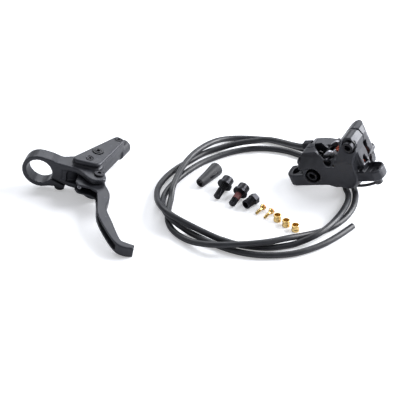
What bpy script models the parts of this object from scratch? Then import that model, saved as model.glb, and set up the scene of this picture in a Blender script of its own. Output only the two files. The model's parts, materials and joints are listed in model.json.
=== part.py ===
"""A bicycle's hydraulic disc brake, laid out on a surface: lever, caliper with its coiled hose, and fitting kit.

The lever is drawn in its own frame: x points away from the handlebar, y along the bar, z up through the clamp.
The caliper is drawn in its own frame: x from ear to ear, y along the rotor's axis, z up the mounting bolts.
"""

import math

import bmesh
import bpy
from mathutils import Euler, Matrix, Vector

MM = 0.001


def mm(*rows):
    """Rows of millimetre values, in metres."""
    return [tuple(value * MM for value in row) for row in rows]


# Clearances
GAP = 0.3 * MM
MERGE = 0.002 * MM
TINY = 1e-9
ARC_STEP = math.radians(30)
SMOOTH_ANGLE = math.radians(35)
DISC_SIDES = 24
ROUND_SIDES = 16
SMALL_SIDES = 12
WIRE_SIDES = 8
ROTOR_SIDES = 56
CAST_EDGE = 0.5 * MM
TURNED_EDGE = 0.4 * MM
BEYOND = 15.0 * MM

# Where things lie on the surface, measured from the middle of the layout
LAYOUT_CENTRE = Vector((1.91, -4.93, 0.0)) * MM
LEVER_PLACE = Vector((-130.8, 18.9, 18.7)) * MM
LEVER_TURN = (math.radians(-0.6), math.radians(11.0), math.radians(-10.8))
CALIPER_PLACE = Vector((80.3, 23.9, 13.0)) * MM
CALIPER_TURN = (math.radians(9.3), math.radians(-22.5), math.radians(-33.7))

# Handlebar clamp
BAR_DIA = 22.2 * MM
CLAMP_WALL = 3.7 * MM
CLAMP_WIDTH = 12.0 * MM
CLAMP_FACE_X = 14.8 * MM
EAR_SIDE = mm((0, 14.7, 0), (8, 14.4, 6), (14, 13.1, 6), (24, 13.1, 0), (24, 8.6, 0), (22.5, 5, 2), (23, -2, 3),
              (23, -10.8, 3), (13.5, -10.8, 1.5), (8, -12.4, 2), (0, -14.6, 0))
EAR_BOTTOM = -10.8 * MM
SLIT_START = Vector((9.0, -3.3)) * MM
SLIT_END = Vector((26.0, -8.0)) * MM
SLIT_WIDTH = 1.8 * MM
CLAMP_BOLT_X = 17.5 * MM
CLAMP_BOLT_DIA = 5.0 * MM
CLAMP_HEAD_DIA = 8.4 * MM
CLAMP_HEAD_HEIGHT = 3.6 * MM
CLAMP_BOLT_TOP = 2.0 * MM
CLAMP_SOCKET_AF = 4.0 * MM
CLAMP_SOCKET_DEPTH = 2.0 * MM

# Lever body
LUG_PLAN = mm((17, -5.9, 0), (32.5, -6.3, 8), (47, -16.8, 9), (56.8, -9.1, 4), (52, 1, 6), (50, 8, 0), (30, 11, 0),
              (17, 5.9, 0))
LUG_TOP = 13.1 * MM
LUG_THICK = 4.5 * MM
LOWER_LUG_THICK = 4.2 * MM
SPINE_STEP = 0.2 * MM
SPINE_PLAN = mm((16, -2, 0), (22, -4.5, 2), (29.5, -1.5, 6), (36, 7.5, 4), (46, 8.5, 0), (46, 14, 0), (32, 15, 6),
                (16, 5.9, 0))
BARREL_TURN = math.radians(13.6)
BARREL_X = 39.2 * MM
BARREL_Z = 2.9 * MM
BARREL_RADIUS = 7.5 * MM
BARREL_MOUTH = 15.0 * MM
BARREL_END = 58.0 * MM
MASTER_BORE_DIA = 10.4 * MM
MASTER_BORE_END = 48.6 * MM
PORT_X = 42.0 * MM
PORT_RADIUS = 6.4 * MM
PORT_START = 54.0 * MM
PORT_END = 69.0 * MM
PORT_SOCKET_DIA = 6.8 * MM
PORT_SOCKET_DEPTH = 10.0 * MM
PASSAGE_DIA = 2.6 * MM

# Reservoir
COVER_PLAN = mm((21.5, -2.5, 4), (47.5, -1.0, 6), (58.9, 44.0, 4.2), (50.8, 47.2, 4.2))
COVER_BOTTOM = 14.9 * MM
COVER_THICK = 3.6 * MM
COVER_BEVEL = 1.1 * MM
BLOCK_BOTTOM = 8.6 * MM
BLOCK_INSET = 0.3 * MM
POCKET_PLAN = mm((31.5, 10.5, 2), (46.8, 10.5, 2), (53.2, 35.5, 2), (48.2, 37, 2))
POCKET_FLOOR = 10.9 * MM
DIAPHRAGM_DEPTH = 3.0 * MM
DIAPHRAGM_WALL = 0.8 * MM
BREATHER_DIA = 1.6 * MM
BREATHER_PLACE = Vector((47.0, 22.0)) * MM
COVER_SCREW_FRONT = Vector((37.6, 5.5)) * MM
COVER_SCREW_REAR = Vector((53.1, 42.0)) * MM
COVER_SCREW_HEAD_DIA = 5.4 * MM
COVER_SCREW_DIA = 2.6 * MM
COVER_SCREW_SINK = 1.4 * MM
COVER_SCREW_LENGTH = 4.4 * MM
COVER_SCREW_BELOW = 0.1 * MM
COVER_SOCKET_AF = 2.4 * MM
COVER_SOCKET_DEPTH = 0.9 * MM
BLEED_PLACE = Vector((41.5, 17.7)) * MM
BLEED_HEAD_DIA = 5.6 * MM
BLEED_RING_DIA = 8.2 * MM
BLEED_RECESS = 1.0 * MM
BLEED_DIA = 4.0 * MM
BLEED_HEAD_HEIGHT = 1.6 * MM
BLEED_LENGTH = 2.4 * MM
BLEED_RING_HEIGHT = 1.3 * MM
BLEED_SOCKET_AF = 2.6 * MM
BLEED_SOCKET_DEPTH = 1.2 * MM

# Lever blade and its pivot
PIVOT = Vector((49.0, -5.3)) * MM
PIVOT_PIN_DIA = 5.0 * MM
PIVOT_HEAD_DIA = 8.0 * MM
PIVOT_HEAD_HEIGHT = 1.2 * MM
PIVOT_PIN_BELOW = 0.4 * MM
PIVOT_SOCKET_AF = 3.0 * MM
PIVOT_SOCKET_DEPTH = 1.8 * MM
BUSH_WALL = 1.0 * MM
BUSH_FLANGE_DIA = 10.4 * MM
BLADE_TOP = 7.6 * MM
BLADE_HEIGHT = 9.4 * MM
BLADE_EDGE = 0.6 * MM
BLADE_WEB = 2.5 * MM
BLADE_FLANGE = 1.8 * MM
BLADE_OUTER = mm((56.4, -9.1), (61.9, -17.5), (64, -25.4), (64.8, -38.4), (72.5, -52), (83.4, -70.4), (88.5, -72.9),
                 (96.2, -73.6))
BLADE_INNER = mm((96.6, -78.2), (89.6, -80), (81.6, -77.4), (70.7, -64.9), (59.8, -48), (55.3, -32), (52, -21))
BLADE_WING = mm((46, -18.5, 3), (36, -19, 3), (32.5, -15, 3), (32.5, -4, 4), (36, 0.5, 3), (43, 0.9, 2))
BLADE_HUB_RADIUS = 6.0 * MM
CHANNEL_REACH = 14.0 * MM
CHANNEL_STOP = 0.9
WING_REACH = 25.0 * MM
WING_NEAR = 17.0 * MM
WING_FAR = 12.0 * MM
TRUNNION_ALONG = 4.5 * MM
TRUNNION_DIA = 6.0 * MM
PUSHROD_DIA = 3.6 * MM
PUSHROD_NEAR = -7.0 * MM
PUSHROD_BALL_DIA = 4.6 * MM
ROD_SOCKET_AF = 2.0 * MM
ROD_SOCKET_DEPTH = 2.0 * MM

# Master cylinder parts, along the barrel
RING_OFFSET = 1.0 * MM
RING_THICK = 1.0 * MM
RING_GROOVE = 0.8 * MM
RING_BORE_DIA = 7.0 * MM
PISTON_LENGTH = 15.0 * MM
PISTON_CUP_DIA = 5.4 * MM
PISTON_CUP_DEPTH = 4.0 * MM
PISTON_SEAL_PLACE = 11.0 * MM
PISTON_SEAL_WIDTH = 1.6 * MM
PISTON_SEAL_DEPTH = 1.4 * MM
SPRING_WIRE_DIA = 0.9 * MM
SPRING_COIL_DIA = 7.4 * MM
SPRING_TURNS = 5
SPRING_TURN_POINTS = 9
SPRING_SIDES = 4

# Caliper castings
EAR_SPACING = 74.2 * MM
EAR_SLOT_WIDTH = 6.6 * MM
EAR_SLOT_LENGTH = 9.0 * MM
SEAM_Y = 11.3 * MM
CORE_SIDE = mm((4, 0, 2), (6, -11, 2), (30, -11, 3), (40, -16, 6), (56, -16, 6), (62, -9, 3), (67, -8.5, 3), (67, 2, 3),
               (70, 8, 4), (73.5, 16, 4), (73.5, 27, 9), (62, 32.5, 8), (53, 27.5, 4), (50, 18, 4), (45, 14.5, 4), (31, 13, 3),
               (25, 15.5, 3), (9, 14.5, 4), (4, 9, 4))
CORE_HALF = 12.3 * MM
CORE_BEVEL = 0.8 * MM
LOBE_X = 48.0 * MM
LOBE_Z = -1.5 * MM
LOBE_RADIUS = 15.0 * MM
LOBE_NEAR = 18.8 * MM
LOBE_FAR = 19.4 * MM
LOBE_ROUND = 2.4 * MM
LEFT_EAR_PLAN = mm((-8.5, -7.5, 7.3), (36, -7.5, 5), (36, 11.1, 0), (6, 11.1, 3), (-4, 7.5, 3), (-8.5, 7.5, 4))
LEFT_EAR_THICK = 11.0 * MM
RIGHT_EAR_PLAN = mm((60, -6.5, 2), (81.7, -6.5, 6), (81.7, 6.5, 6), (74, 11.1, 4), (60, 11.1, 0))
RIGHT_EAR_THICK = 9.0 * MM
EAR_BEVEL = 0.7 * MM
RADIAL_TURN = math.radians(30.4)
ROTOR_RADIUS = 80.0 * MM
ROTOR_TO_LOBE = 68.0 * MM
ROTOR_CLEAR = 1.5 * MM
ROTOR_SLOT = 4.0 * MM
BOLT_ACROSS = 26.1 * MM
BOLT_UP = 14.8 * MM
BOLT_DIA = 6.0 * MM
BOLT_HEAD_DIA = 9.2 * MM
BOLT_HEAD_HEIGHT = 5.5 * MM
COUNTERBORE_DIA = 11.6 * MM
LOWER_SEAT = 1.6 * MM
UPPER_BOSS_DIA = 15.0 * MM
LOWER_BOSS_DIA = 15.6 * MM
LOWER_BOSS_RISE = 7.0 * MM
UPPER_BOSS_RISE = 1.6 * MM
UPPER_SEAT_DEPTH = 2.2 * MM
BOLT_END_WALL = 2.5 * MM
SOCKET_AF = 5.0 * MM
SOCKET_DEPTH = 2.6 * MM
RING_WALL = 1.0 * MM
TRANSFER_X = 22.0 * MM
TRANSFER_Z = 8.0 * MM
TRANSFER_DIA = 5.6 * MM
TRANSFER_HOLE_DIA = 2.4 * MM
TRANSFER_DEPTH = 1.0 * MM
PORT_DRILL_RADIUS = 0.9 * MM

# Pistons and pads, measured from the rotor's middle plane
PAD_GAP = 4.4 * MM
LINING_THICK = 3.3 * MM
PLATE_THICK = 1.8 * MM
PISTON_DIA = 21.4 * MM
CALIPER_PISTON_LENGTH = 8.6 * MM
PISTON_HOLLOW_DIA = 15.0 * MM
PISTON_HOLLOW_DEPTH = 6.0 * MM
BORE_END_ROOM = 0.8 * MM
SEAL_WIDTH = 2.0 * MM
SEAL_DEPTH = 2.0 * MM
SEAL_PLACE = 2.6 * MM
POCKET_HALF = 13.4 * MM
POCKET_LOW = -13.0 * MM
POCKET_HIGH = 45.0 * MM
PLATE_SHAPE = mm((-12.8, -12.4, 3), (12.8, -12.4, 3), (12.8, 11.5, 3), (1.5, 12.5, 3), (-0.5, 21, 4), (-12.3, 21, 4),
                 (-12.8, 8, 0))
LINING_SHAPE = mm((-12.2, -11.8, 3), (12.2, -11.8, 3), (11.6, 9.8, 3), (-11.6, 9.8, 3))
AXLE_PLACE = Vector((-6.4, 15.8)) * MM
AXLE_DIA = 3.0 * MM
AXLE_HEAD_DIA = 5.4 * MM
AXLE_HEAD_HEIGHT = 1.4 * MM
AXLE_END_WALL = 1.5 * MM
AXLE_SOCKET_AF = 2.5 * MM
AXLE_SOCKET_DEPTH = 0.9 * MM
PAD_SPRING_SHEET = 0.5 * MM
PAD_SPRING_HALF = 11.0 * MM
PAD_SPRING_LOW = 11.2 * MM
PAD_SPRING_TOP = 21.0 * MM
AXLE_NOTCH_DIA = 5.0 * MM

# Hose port, nut, bleed nipple and cap; the nipple points down from the far half
HOSE_DIA = 5.0 * MM
NUT_AF = 8.0 * MM
NUT_HEX_LENGTH = 8.0 * MM
NUT_SHANK_DIA = 7.0 * MM
NUT_SHANK_LENGTH = 6.0 * MM
PORT_FACE_X = 8.0 * MM
PORT_Y = 23.0 * MM
PORT_Z = 8.0 * MM
PORT_BOSS_RADIUS = 6.2 * MM
PORT_BOSS_LENGTH = 26.0 * MM
HOSE_IN_NUT = 5.0 * MM
NIPPLE_BASE = Vector((58.0, 20.5, -16.5)) * MM
NIPPLE_AXIS = Vector((0.0, 0.0, -1.0))
NIPPLE_BOSS_RADIUS = 4.6 * MM
NIPPLE_BOSS_LENGTH = 12.0 * MM
NIPPLE_SHANK = 3.0 * MM
NIPPLE_THREAD_RADIUS = 2.5 * MM
NIPPLE_SHAPE = mm((3.6, 0), (3.6, 3.4), (1.9, 3.4), (1.9, 9.4), (2.2, 9.8), (1.6, 12.0))
NIPPLE_DRILL_RADIUS = 0.7 * MM
CAP_START = 5.4 * MM
CAP_LENGTH = 8.0 * MM
CAP_RADIUS = 3.4 * MM
CAP_WALL = 0.9 * MM
STRAP_DIA = 2.6 * MM
STRAP_ROUTE = mm((57, 19.5, -28.9), (52, 16, -28.5), (46, 12, -26.6), (40.5, 10, -24), (40.5, 11.5, -21.6), (45, 14, -21.2),
                 (50, 15.5, -20.2))

# The hose's own path after it leaves the nut, on the surface and over itself
HOSE_ROUTE = mm(
    (60.6, 67.4, 14.5), (46.1, 74.7, 8.5), (32.7, 74.5, 6.3), (18.9, 71.5, 4.0), (4.3, 65.2, 2.5), (-8.5, 53.0, 2.5),
    (-20.2, 41.0, 2.5), (-29.4, 27.2, 2.5), (-34.7, 11.9, 3.2), (-34.9, -6.9, 7.0), (-31.9, -22.8, 11.6),
    (-26.6, -34.0, 13.5), (-19.7, -41.0, 13.0), (-12.6, -44.9, 11.0), (-4.3, -48.2, 8.2), (5.1, -51.6, 5.0),
    (15.7, -55.8, 2.5), (27.3, -61.7, 2.5), (41.3, -65.5, 2.5), (55.3, -66.5, 2.5), (70.2, -63.4, 2.5),
    (79.7, -60.8, 4.2), (89.1, -58.0, 7.2), (97.8, -51.1, 8.2), (106.1, -40.0, 8.0), (113.9, -24.6, 6.2),
    (119.9, -7.7, 3.6), (121.7, 4.2, 2.5), (120.5, 12.0, 2.5), (119.0, 25.0, 4.5), (115.0, 38.0, 7.5),
    (107.0, 50.0, 8.0), (98.0, 61.0, 6.0), (88.0, 70.5, 3.2), (75.9, 78.5, 2.5), (61.4, 85.1, 2.5), (50.3, 87.0, 2.5),
    (39.2, 88.1, 2.5), (27.9, 87.1, 3.0), (15.6, 80.7, 5.2), (4.3, 68.3, 7.8), (-5.9, 54.6, 8.2), (-13.4, 39.0, 8.2),
    (-19.1, 21.4, 8.2), (-22.5, 7.4, 6.8), (-23.8, -3.3, 3.4), (-25.4, -15.8, 2.5), (-25.8, -30.0, 2.5),
    (-22.9, -41.3, 2.5), (-16.9, -50.6, 2.5), (-7.8, -59.4, 3.5), (2.3, -66.2, 6.0), (13.2, -70.3, 8.2),
    (25.5, -70.1, 8.3), (40.3, -68.9, 8.3), (55.1, -66.0, 8.2), (68.6, -60.9, 7.6), (78.4, -55.2, 5.2),
    (88.4, -49.0, 2.8), (97.8, -44.7, 2.5), (107.4, -37.8, 2.5), (117.2, -26.7, 2.5), (124.2, -13.1, 2.5),
    (127.3, 0.7, 2.5), (127.5, 12.0, 2.5), (125.0, 27.0, 2.5), (117.0, 42.0, 2.5), (104.0, 53.0, 2.5),
    (87.2, 60.9, 2.5), (74.8, 67.9, 2.5), (59.5, 71.9, 2.5), (43.9, 71.6, 2.5), (28.3, 67.0, 2.5), (13.7, 59.0, 2.5),
    (0.8, 49.4, 2.5), (-10.9, 36.6, 2.5), (-20.0, 23.5, 2.5), (-26.4, 11.3, 2.5), (-29.8, 0.0, 2.5),
    (-30.3, -13.2, 5.0), (-27.8, -26.7, 7.9), (-22.7, -36.3, 7.9), (-15.7, -42.7, 5.6), (-6.3, -48.7, 2.6),
    (5.5, -58.1, 2.5), (17.9, -66.2, 2.5), (31.0, -72.3, 2.5), (44.8, -75.6, 2.5), (58.7, -76.0, 2.5),
    (72.0, -74.0, 2.5), (84.7, -69.0, 2.5), (96.9, -61.7, 2.5), (109.1, -51.4, 2.5), (121.5, -38.6, 2.5))
HOSE_POINTS = 80
ROUTE_SAMPLES = 16
NUT_EXIT = 1.5 * HOSE_DIA

# Fitting kit: where each piece lies, and which way it points
BOOT_SMALL_END = Vector((-0.2, 17.6)) * MM
BOOT_BIG_END = Vector((14.5, 37.1)) * MM
BOOT_SMALL_DIA = 8.0 * MM
BOOT_BIG_DIA = 12.0 * MM
BOOT_BORE_DIA = 5.4 * MM
BOOT_SKIRT_DIA = 9.8 * MM
BOOT_SKIRT_DEPTH = 9.0 * MM
BOOT_SLOT_LENGTH = 9.0 * MM
BOOT_SLOT_WIDTH = 2.0 * MM
BOOT_SLOT_SHARE = 0.55
BOOT_SLOT_TURN = math.radians(70)
KIT_BOLT_TIPS = mm((13.5, 0.2), (25.7, -9.9))
KIT_BOLT_HEADS = mm((26.6, 23.5), (39.1, 12.1))
KIT_BOLT_DIA = 6.0 * MM
KIT_BOLT_LENGTH = 15.5 * MM
KIT_HEAD_DIA = 10.0 * MM
KIT_HEAD_HEIGHT = 6.0 * MM
KIT_SOCKET_DEPTH = 3.0 * MM
WASHER_DIA = 12.6 * MM
WASHER_THICK = 1.6 * MM
KIT_NUT_END = Vector((36.9, -13.0)) * MM
KIT_NUT_HEAD = Vector((45.4, -3.4)) * MM
KIT_NUT_SHANK_DIA = 7.8 * MM
KIT_NUT_SHANK_LENGTH = 8.6 * MM
BARB_TIPS = mm((45.3, -20.3), (51.6, -25.8))
BARB_HEADS = mm((51.8, -12.3), (58.1, -18.3))
BARB_HEAD_DIA = 5.0 * MM
BARB_STEM_DIA = 2.4 * MM
BARB_TIP_DIA = 2.7 * MM
BARB_HOLE_DIA = 1.2 * MM
BARB_HEAD_LENGTH = 2.4 * MM
OLIVE_PLACES = mm((62.0, -28.3), (68.6, -35.2), (75.7, -41.4))
OLIVE_DIA = 6.2 * MM
OLIVE_WAIST = 0.2 * MM
OLIVE_BORE_DIA = 5.2 * MM
OLIVE_HEIGHT = 6.0 * MM
OLIVE_EDGE = 0.3 * MM

# Colours, roughness and metallic values
PAINT = ((0.035, 0.036, 0.040), 0.42, 0.6)
BLACK_STEEL = ((0.020, 0.020, 0.022), 0.38, 0.8)
RUBBER = ((0.022, 0.023, 0.026), 0.55, 0.0)
STEEL = ((0.62, 0.62, 0.64), 0.28, 1.0)
ALLOY = ((0.60, 0.61, 0.63), 0.35, 1.0)
BRASS = ((0.78, 0.55, 0.22), 0.25, 1.0)
LINING = ((0.42, 0.12, 0.06), 0.85, 0.2)
PHENOLIC = ((0.12, 0.10, 0.08), 0.5, 0.0)


def clear_scene():
    for item in list(bpy.data.objects):
        bpy.data.objects.remove(item, do_unlink=True)


def principled(name, look):
    """A node's own material."""
    colour, roughness, metallic = look
    material = bpy.data.materials.new(name)
    material.use_nodes = True
    shader = material.node_tree.nodes["Principled BSDF"]
    shader.inputs["Base Color"].default_value = (*colour, 1.0)
    shader.inputs["Roughness"].default_value = roughness
    shader.inputs["Metallic"].default_value = metallic
    material.diffuse_color = (*colour, 1.0)
    return material


def mesh_object(name, shape):
    """Turns a bmesh into an object with its faces pointing out."""
    bmesh.ops.recalc_face_normals(shape, faces=shape.faces[:])
    mesh = bpy.data.meshes.new(name)
    shape.to_mesh(mesh)
    shape.free()
    item = bpy.data.objects.new(name, mesh)
    bpy.context.scene.collection.objects.link(item)
    return item


def arc(centre, radius, start, end, step=ARC_STEP):
    """Points along an arc, both ends included."""
    steps = max(1, math.ceil(abs(end - start) / step - TINY))
    angles = (start + (end - start) * index / steps for index in range(steps + 1))
    return [Vector((centre[0] + radius * math.cos(a), centre[1] + radius * math.sin(a))) for a in angles]


def rounded(corners, step=ARC_STEP):
    """A closed outline whose corners (x, y, radius) become arcs that touch both of their sides."""
    outline = []
    count = len(corners)
    for index, (x, y, radius) in enumerate(corners):
        corner = Vector((x, y))
        before = Vector(corners[index - 1][:2]) - corner
        after = Vector(corners[(index + 1) % count][:2]) - corner
        if radius < TINY:
            outline.append(corner)
            continue
        half = before.angle(after) / 2
        reach = min(radius / math.tan(half), before.length * 0.48, after.length * 0.48)
        centre = corner + (before.normalized() + after.normalized()).normalized() * (reach / math.cos(half))
        start = corner + before.normalized() * reach - centre
        end = corner + after.normalized() * reach - centre
        first = math.atan2(start.y, start.x)
        turn = (math.atan2(end.y, end.x) - first + math.pi) % (2 * math.pi) - math.pi
        outline += arc(centre, reach * math.tan(half), first, first + turn, step)
    return outline


def smooth_line(points, samples):
    """A smooth curve through every point, in two or three dimensions."""
    rows = [Vector(point) for point in points]
    rows = [rows[0] * 2 - rows[1]] + rows + [rows[-1] * 2 - rows[-2]]
    line = []
    for index in range(1, len(rows) - 2):
        a, b, c, d = rows[index - 1:index + 3]
        for sample in range(samples):
            t = sample / samples
            line.append(b + (c - a) * (t / 2) + (a * 2 - b * 5 + c * 4 - d) * (t * t / 2)
                        + (b * 3 - a - c * 3 + d) * (t * t * t / 2))
    line.append(rows[-2])
    return line


def shifted_line(line, distance):
    """The same line moved sideways, to its left for a positive distance."""
    moved = []
    last = len(line) - 1
    for index, point in enumerate(line):
        along = (line[min(index + 1, last)] - line[max(index - 1, 0)]).normalized()
        moved.append(point + Vector((-along.y, along.x)) * distance)
    return moved


def inset(outline, distance):
    """A closed outline moved inwards by a distance."""
    count = len(outline)
    area = sum(outline[i - 1].x * outline[i].y - outline[i].x * outline[i - 1].y for i in range(count))
    side = 1 if area > 0 else -1
    moved = []
    for index, point in enumerate(outline):
        before = (point - outline[index - 1]).normalized()
        after = (outline[(index + 1) % count] - point).normalized()
        normal = Vector((-(before.y + after.y), before.x + after.x)).normalized()
        lean = max(0.5, normal.dot(Vector((-before.y, before.x))))
        moved.append(point + normal * (side * distance / lean))
    return moved


def place_on(plane, a, b, height):
    """A point of an outline in the plane XY, XZ or YZ, at a height along the remaining axis."""
    if plane == "XY":
        return Vector((a, b, height))
    if plane == "XZ":
        return Vector((a, height, b))
    return Vector((height, a, b))


def extruded(name, outline, low, high, plane="XY", bevel=0.0, bevel_low=None):
    """A plate or block of this outline between two heights, with bevelled rims."""
    shape = bmesh.new()
    ring = [shape.verts.new(place_on(plane, point[0], point[1], low)) for point in outline]
    base = shape.faces.new(ring)
    grown = bmesh.ops.extrude_face_region(shape, geom=[base])["geom"]
    top_verts = [item for item in grown if isinstance(item, bmesh.types.BMVert)]
    bmesh.ops.translate(shape, verts=top_verts, vec=place_on(plane, 0.0, 0.0, high - low))
    top = set(top_verts)
    widths = ((True, bevel), (False, bevel if bevel_low is None else bevel_low))
    for is_top, width in widths:
        if width > TINY:
            rim = [e for e in shape.edges if all((v in top) == is_top for v in e.verts)]
            done = bmesh.ops.bevel(shape, geom=rim, offset=width, segments=1, profile=0.5, affect="EDGES",
                                   clamp_overlap=True)
            if is_top:
                top |= set(done["verts"])
    return mesh_object(name, shape)


def turned(name, profile, sides=ROUND_SIDES, closed=False):
    """A solid of revolution about z, from (radius, height) points; a closed profile makes a ring."""
    shape = bmesh.new()
    rings = []
    for radius, height in profile:
        if radius < TINY:
            rings.append([shape.verts.new((0.0, 0.0, height))] * sides)
            continue
        angles = (2 * math.pi * index / sides for index in range(sides))
        rings.append([shape.verts.new((radius * math.cos(a), radius * math.sin(a), height)) for a in angles])
    pairs = list(zip(rings, rings[1:])) + ([(rings[-1], rings[0])] if closed else [])
    for lower, upper in pairs:
        for index in range(sides):
            nxt = (index + 1) % sides
            corners = []
            for vert in (lower[index], lower[nxt], upper[nxt], upper[index]):
                if vert not in corners:
                    corners.append(vert)
            if len(corners) > 2:
                shape.faces.new(corners)
    if not closed:
        for ring in (rings[0], rings[-1]):
            if ring[0] is not ring[1]:
                shape.faces.new(ring)
    return mesh_object(name, shape)


def along(item, start, end):
    """Turns a piece drawn up the z axis so that it starts at one point and runs towards another."""
    direction = Vector(end) - Vector(start)
    turn = direction.to_track_quat("Z", "Y").to_matrix().to_4x4()
    item.data.transform(Matrix.Translation(Vector(start)) @ turn)
    return item


def rod(name, start, end, radius, sides=ROUND_SIDES, bevel=0.0):
    """A round bar between two points, with chamfered ends."""
    length = (Vector(end) - Vector(start)).length
    profile = [(radius, 0.0), (radius, length)]
    if bevel > TINY:
        profile = [(radius - bevel, 0.0), (radius, bevel), (radius, length - bevel), (radius - bevel, length)]
    return along(turned(name, profile, sides), start, end)


def hexagon(across_flats):
    corner = across_flats / math.sqrt(3)
    return [Vector((corner * math.cos(math.radians(60 * k)), corner * math.sin(math.radians(60 * k)))) for k in range(6)]


def hex_bar(name, start, end, across_flats):
    length = (Vector(end) - Vector(start)).length
    return along(extruded(name, hexagon(across_flats), 0.0, length), start, end)


def stadium(centre, width, length):
    """A slot's outline, long along its second axis."""
    half = (length - width) / 2
    low = (centre[0], centre[1] - half)
    high = (centre[0], centre[1] + half)
    return arc(high, width / 2, 0.0, math.pi) + arc(low, width / 2, math.pi, 2 * math.pi)


def merge_close(mesh):
    """Joins the points that a cut leaves on top of each other."""
    shape = bmesh.new()
    shape.from_mesh(mesh)
    bmesh.ops.remove_doubles(shape, verts=shape.verts[:], dist=MERGE)
    bmesh.ops.dissolve_degenerate(shape, edges=shape.edges[:], dist=MERGE)
    shape.to_mesh(mesh)
    shape.free()


def combine(target, tools, operation):
    """Adds the tools to a solid, or takes them away from it."""
    for tool in tools:
        modifier = target.modifiers.new(operation, "BOOLEAN")
        modifier.operation = operation
        modifier.solver = "EXACT"
        modifier.object = tool
        bpy.context.view_layer.update()
        result = bpy.data.meshes.new_from_object(target.evaluated_get(bpy.context.evaluated_depsgraph_get()))
        target.modifiers.remove(modifier)
        target.data = result
        merge_close(result)
        bpy.data.objects.remove(tool, do_unlink=True)
    return target


def cut(target, *tools):
    return combine(target, tools, "DIFFERENCE")


def fuse(target, *tools):
    return combine(target, tools, "UNION")


def frame_empty(name, place, turn, order="XYZ"):
    """A frame that pieces are drawn in and placed by."""
    empty = bpy.data.objects.new(name, None)
    empty.rotation_mode = order
    empty.rotation_euler = Euler(turn, order)
    empty.location = place
    bpy.context.scene.collection.objects.link(empty)
    return empty


def finish(item, look, frame=None, origin=None):
    """Gives a piece its material, its frame and, where it moves, an origin on its axis."""
    if origin is not None:
        item.data.transform(Matrix.Translation(-Vector(origin)))
        item.location = origin
    item.data.materials.clear()
    item.data.materials.append(principled(item.name, look))
    for polygon in item.data.polygons:
        polygon.use_smooth = True
    item.data.set_sharp_from_angle(angle=SMOOTH_ANGLE)
    item.parent = frame
    return item


def set_down(frame, items):
    """Lowers a frame until the lowest point of its pieces touches the surface."""
    bpy.context.view_layer.update()
    lowest = min((item.matrix_world @ vert.co).z for item in items for vert in item.data.vertices)
    frame.location.z -= lowest


# Lever


def barrel_point(across, along_barrel, z=BARREL_Z):
    """A point given across and along the barrel, in the lever's frame."""
    cosine = math.cos(BARREL_TURN)
    sine = math.sin(BARREL_TURN)
    return Vector((across * cosine + along_barrel * sine, along_barrel * cosine - across * sine, z))


def barrel_rod(name, start, end, radius, across=BARREL_X, sides=ROUND_SIDES, bevel=0.0):
    return rod(name, barrel_point(across, start), barrel_point(across, end), radius, sides, bevel)


def barrel_turned(name, profile, start, sides=ROUND_SIDES, closed=False):
    return along(turned(name, profile, sides, closed), barrel_point(BARREL_X, start), barrel_point(BARREL_X, 2 * start))


def clamp_radius():
    return BAR_DIA / 2 + CLAMP_WALL


def clamp_x():
    return CLAMP_FACE_X - clamp_radius()


def slit_cutter():
    middle = (SLIT_START + SLIT_END) / 2
    length = (SLIT_END - SLIT_START).length
    slope = SLIT_END - SLIT_START
    turn = Matrix.Rotation(-math.atan2(slope.y, slope.x), 4, "Y")
    box = extruded("slit", [(-length / 2, -SLIT_WIDTH / 2), (length / 2, -SLIT_WIDTH / 2), (length / 2, SLIT_WIDTH / 2),
                            (-length / 2, SLIT_WIDTH / 2)], -CLAMP_WIDTH, CLAMP_WIDTH, "XZ")
    box.data.transform(Matrix.Translation(Vector((middle.x, 0.0, middle.y))) @ turn)
    return box


def upright(name, place, low, high, radius, sides=ROUND_SIDES, bevel=0.0):
    """A round bar along z at a place in the plan."""
    return rod(name, (place[0], place[1], low), (place[0], place[1], high), radius, sides, bevel)


def lower_lug_top():
    """The lower lug stands as far below the blade as the upper lug stands above it."""
    return BLADE_TOP - BLADE_HEIGHT - (LUG_TOP - LUG_THICK - BLADE_TOP)


def block_outline():
    return inset(rounded(COVER_PLAN), BLOCK_INSET)


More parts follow.
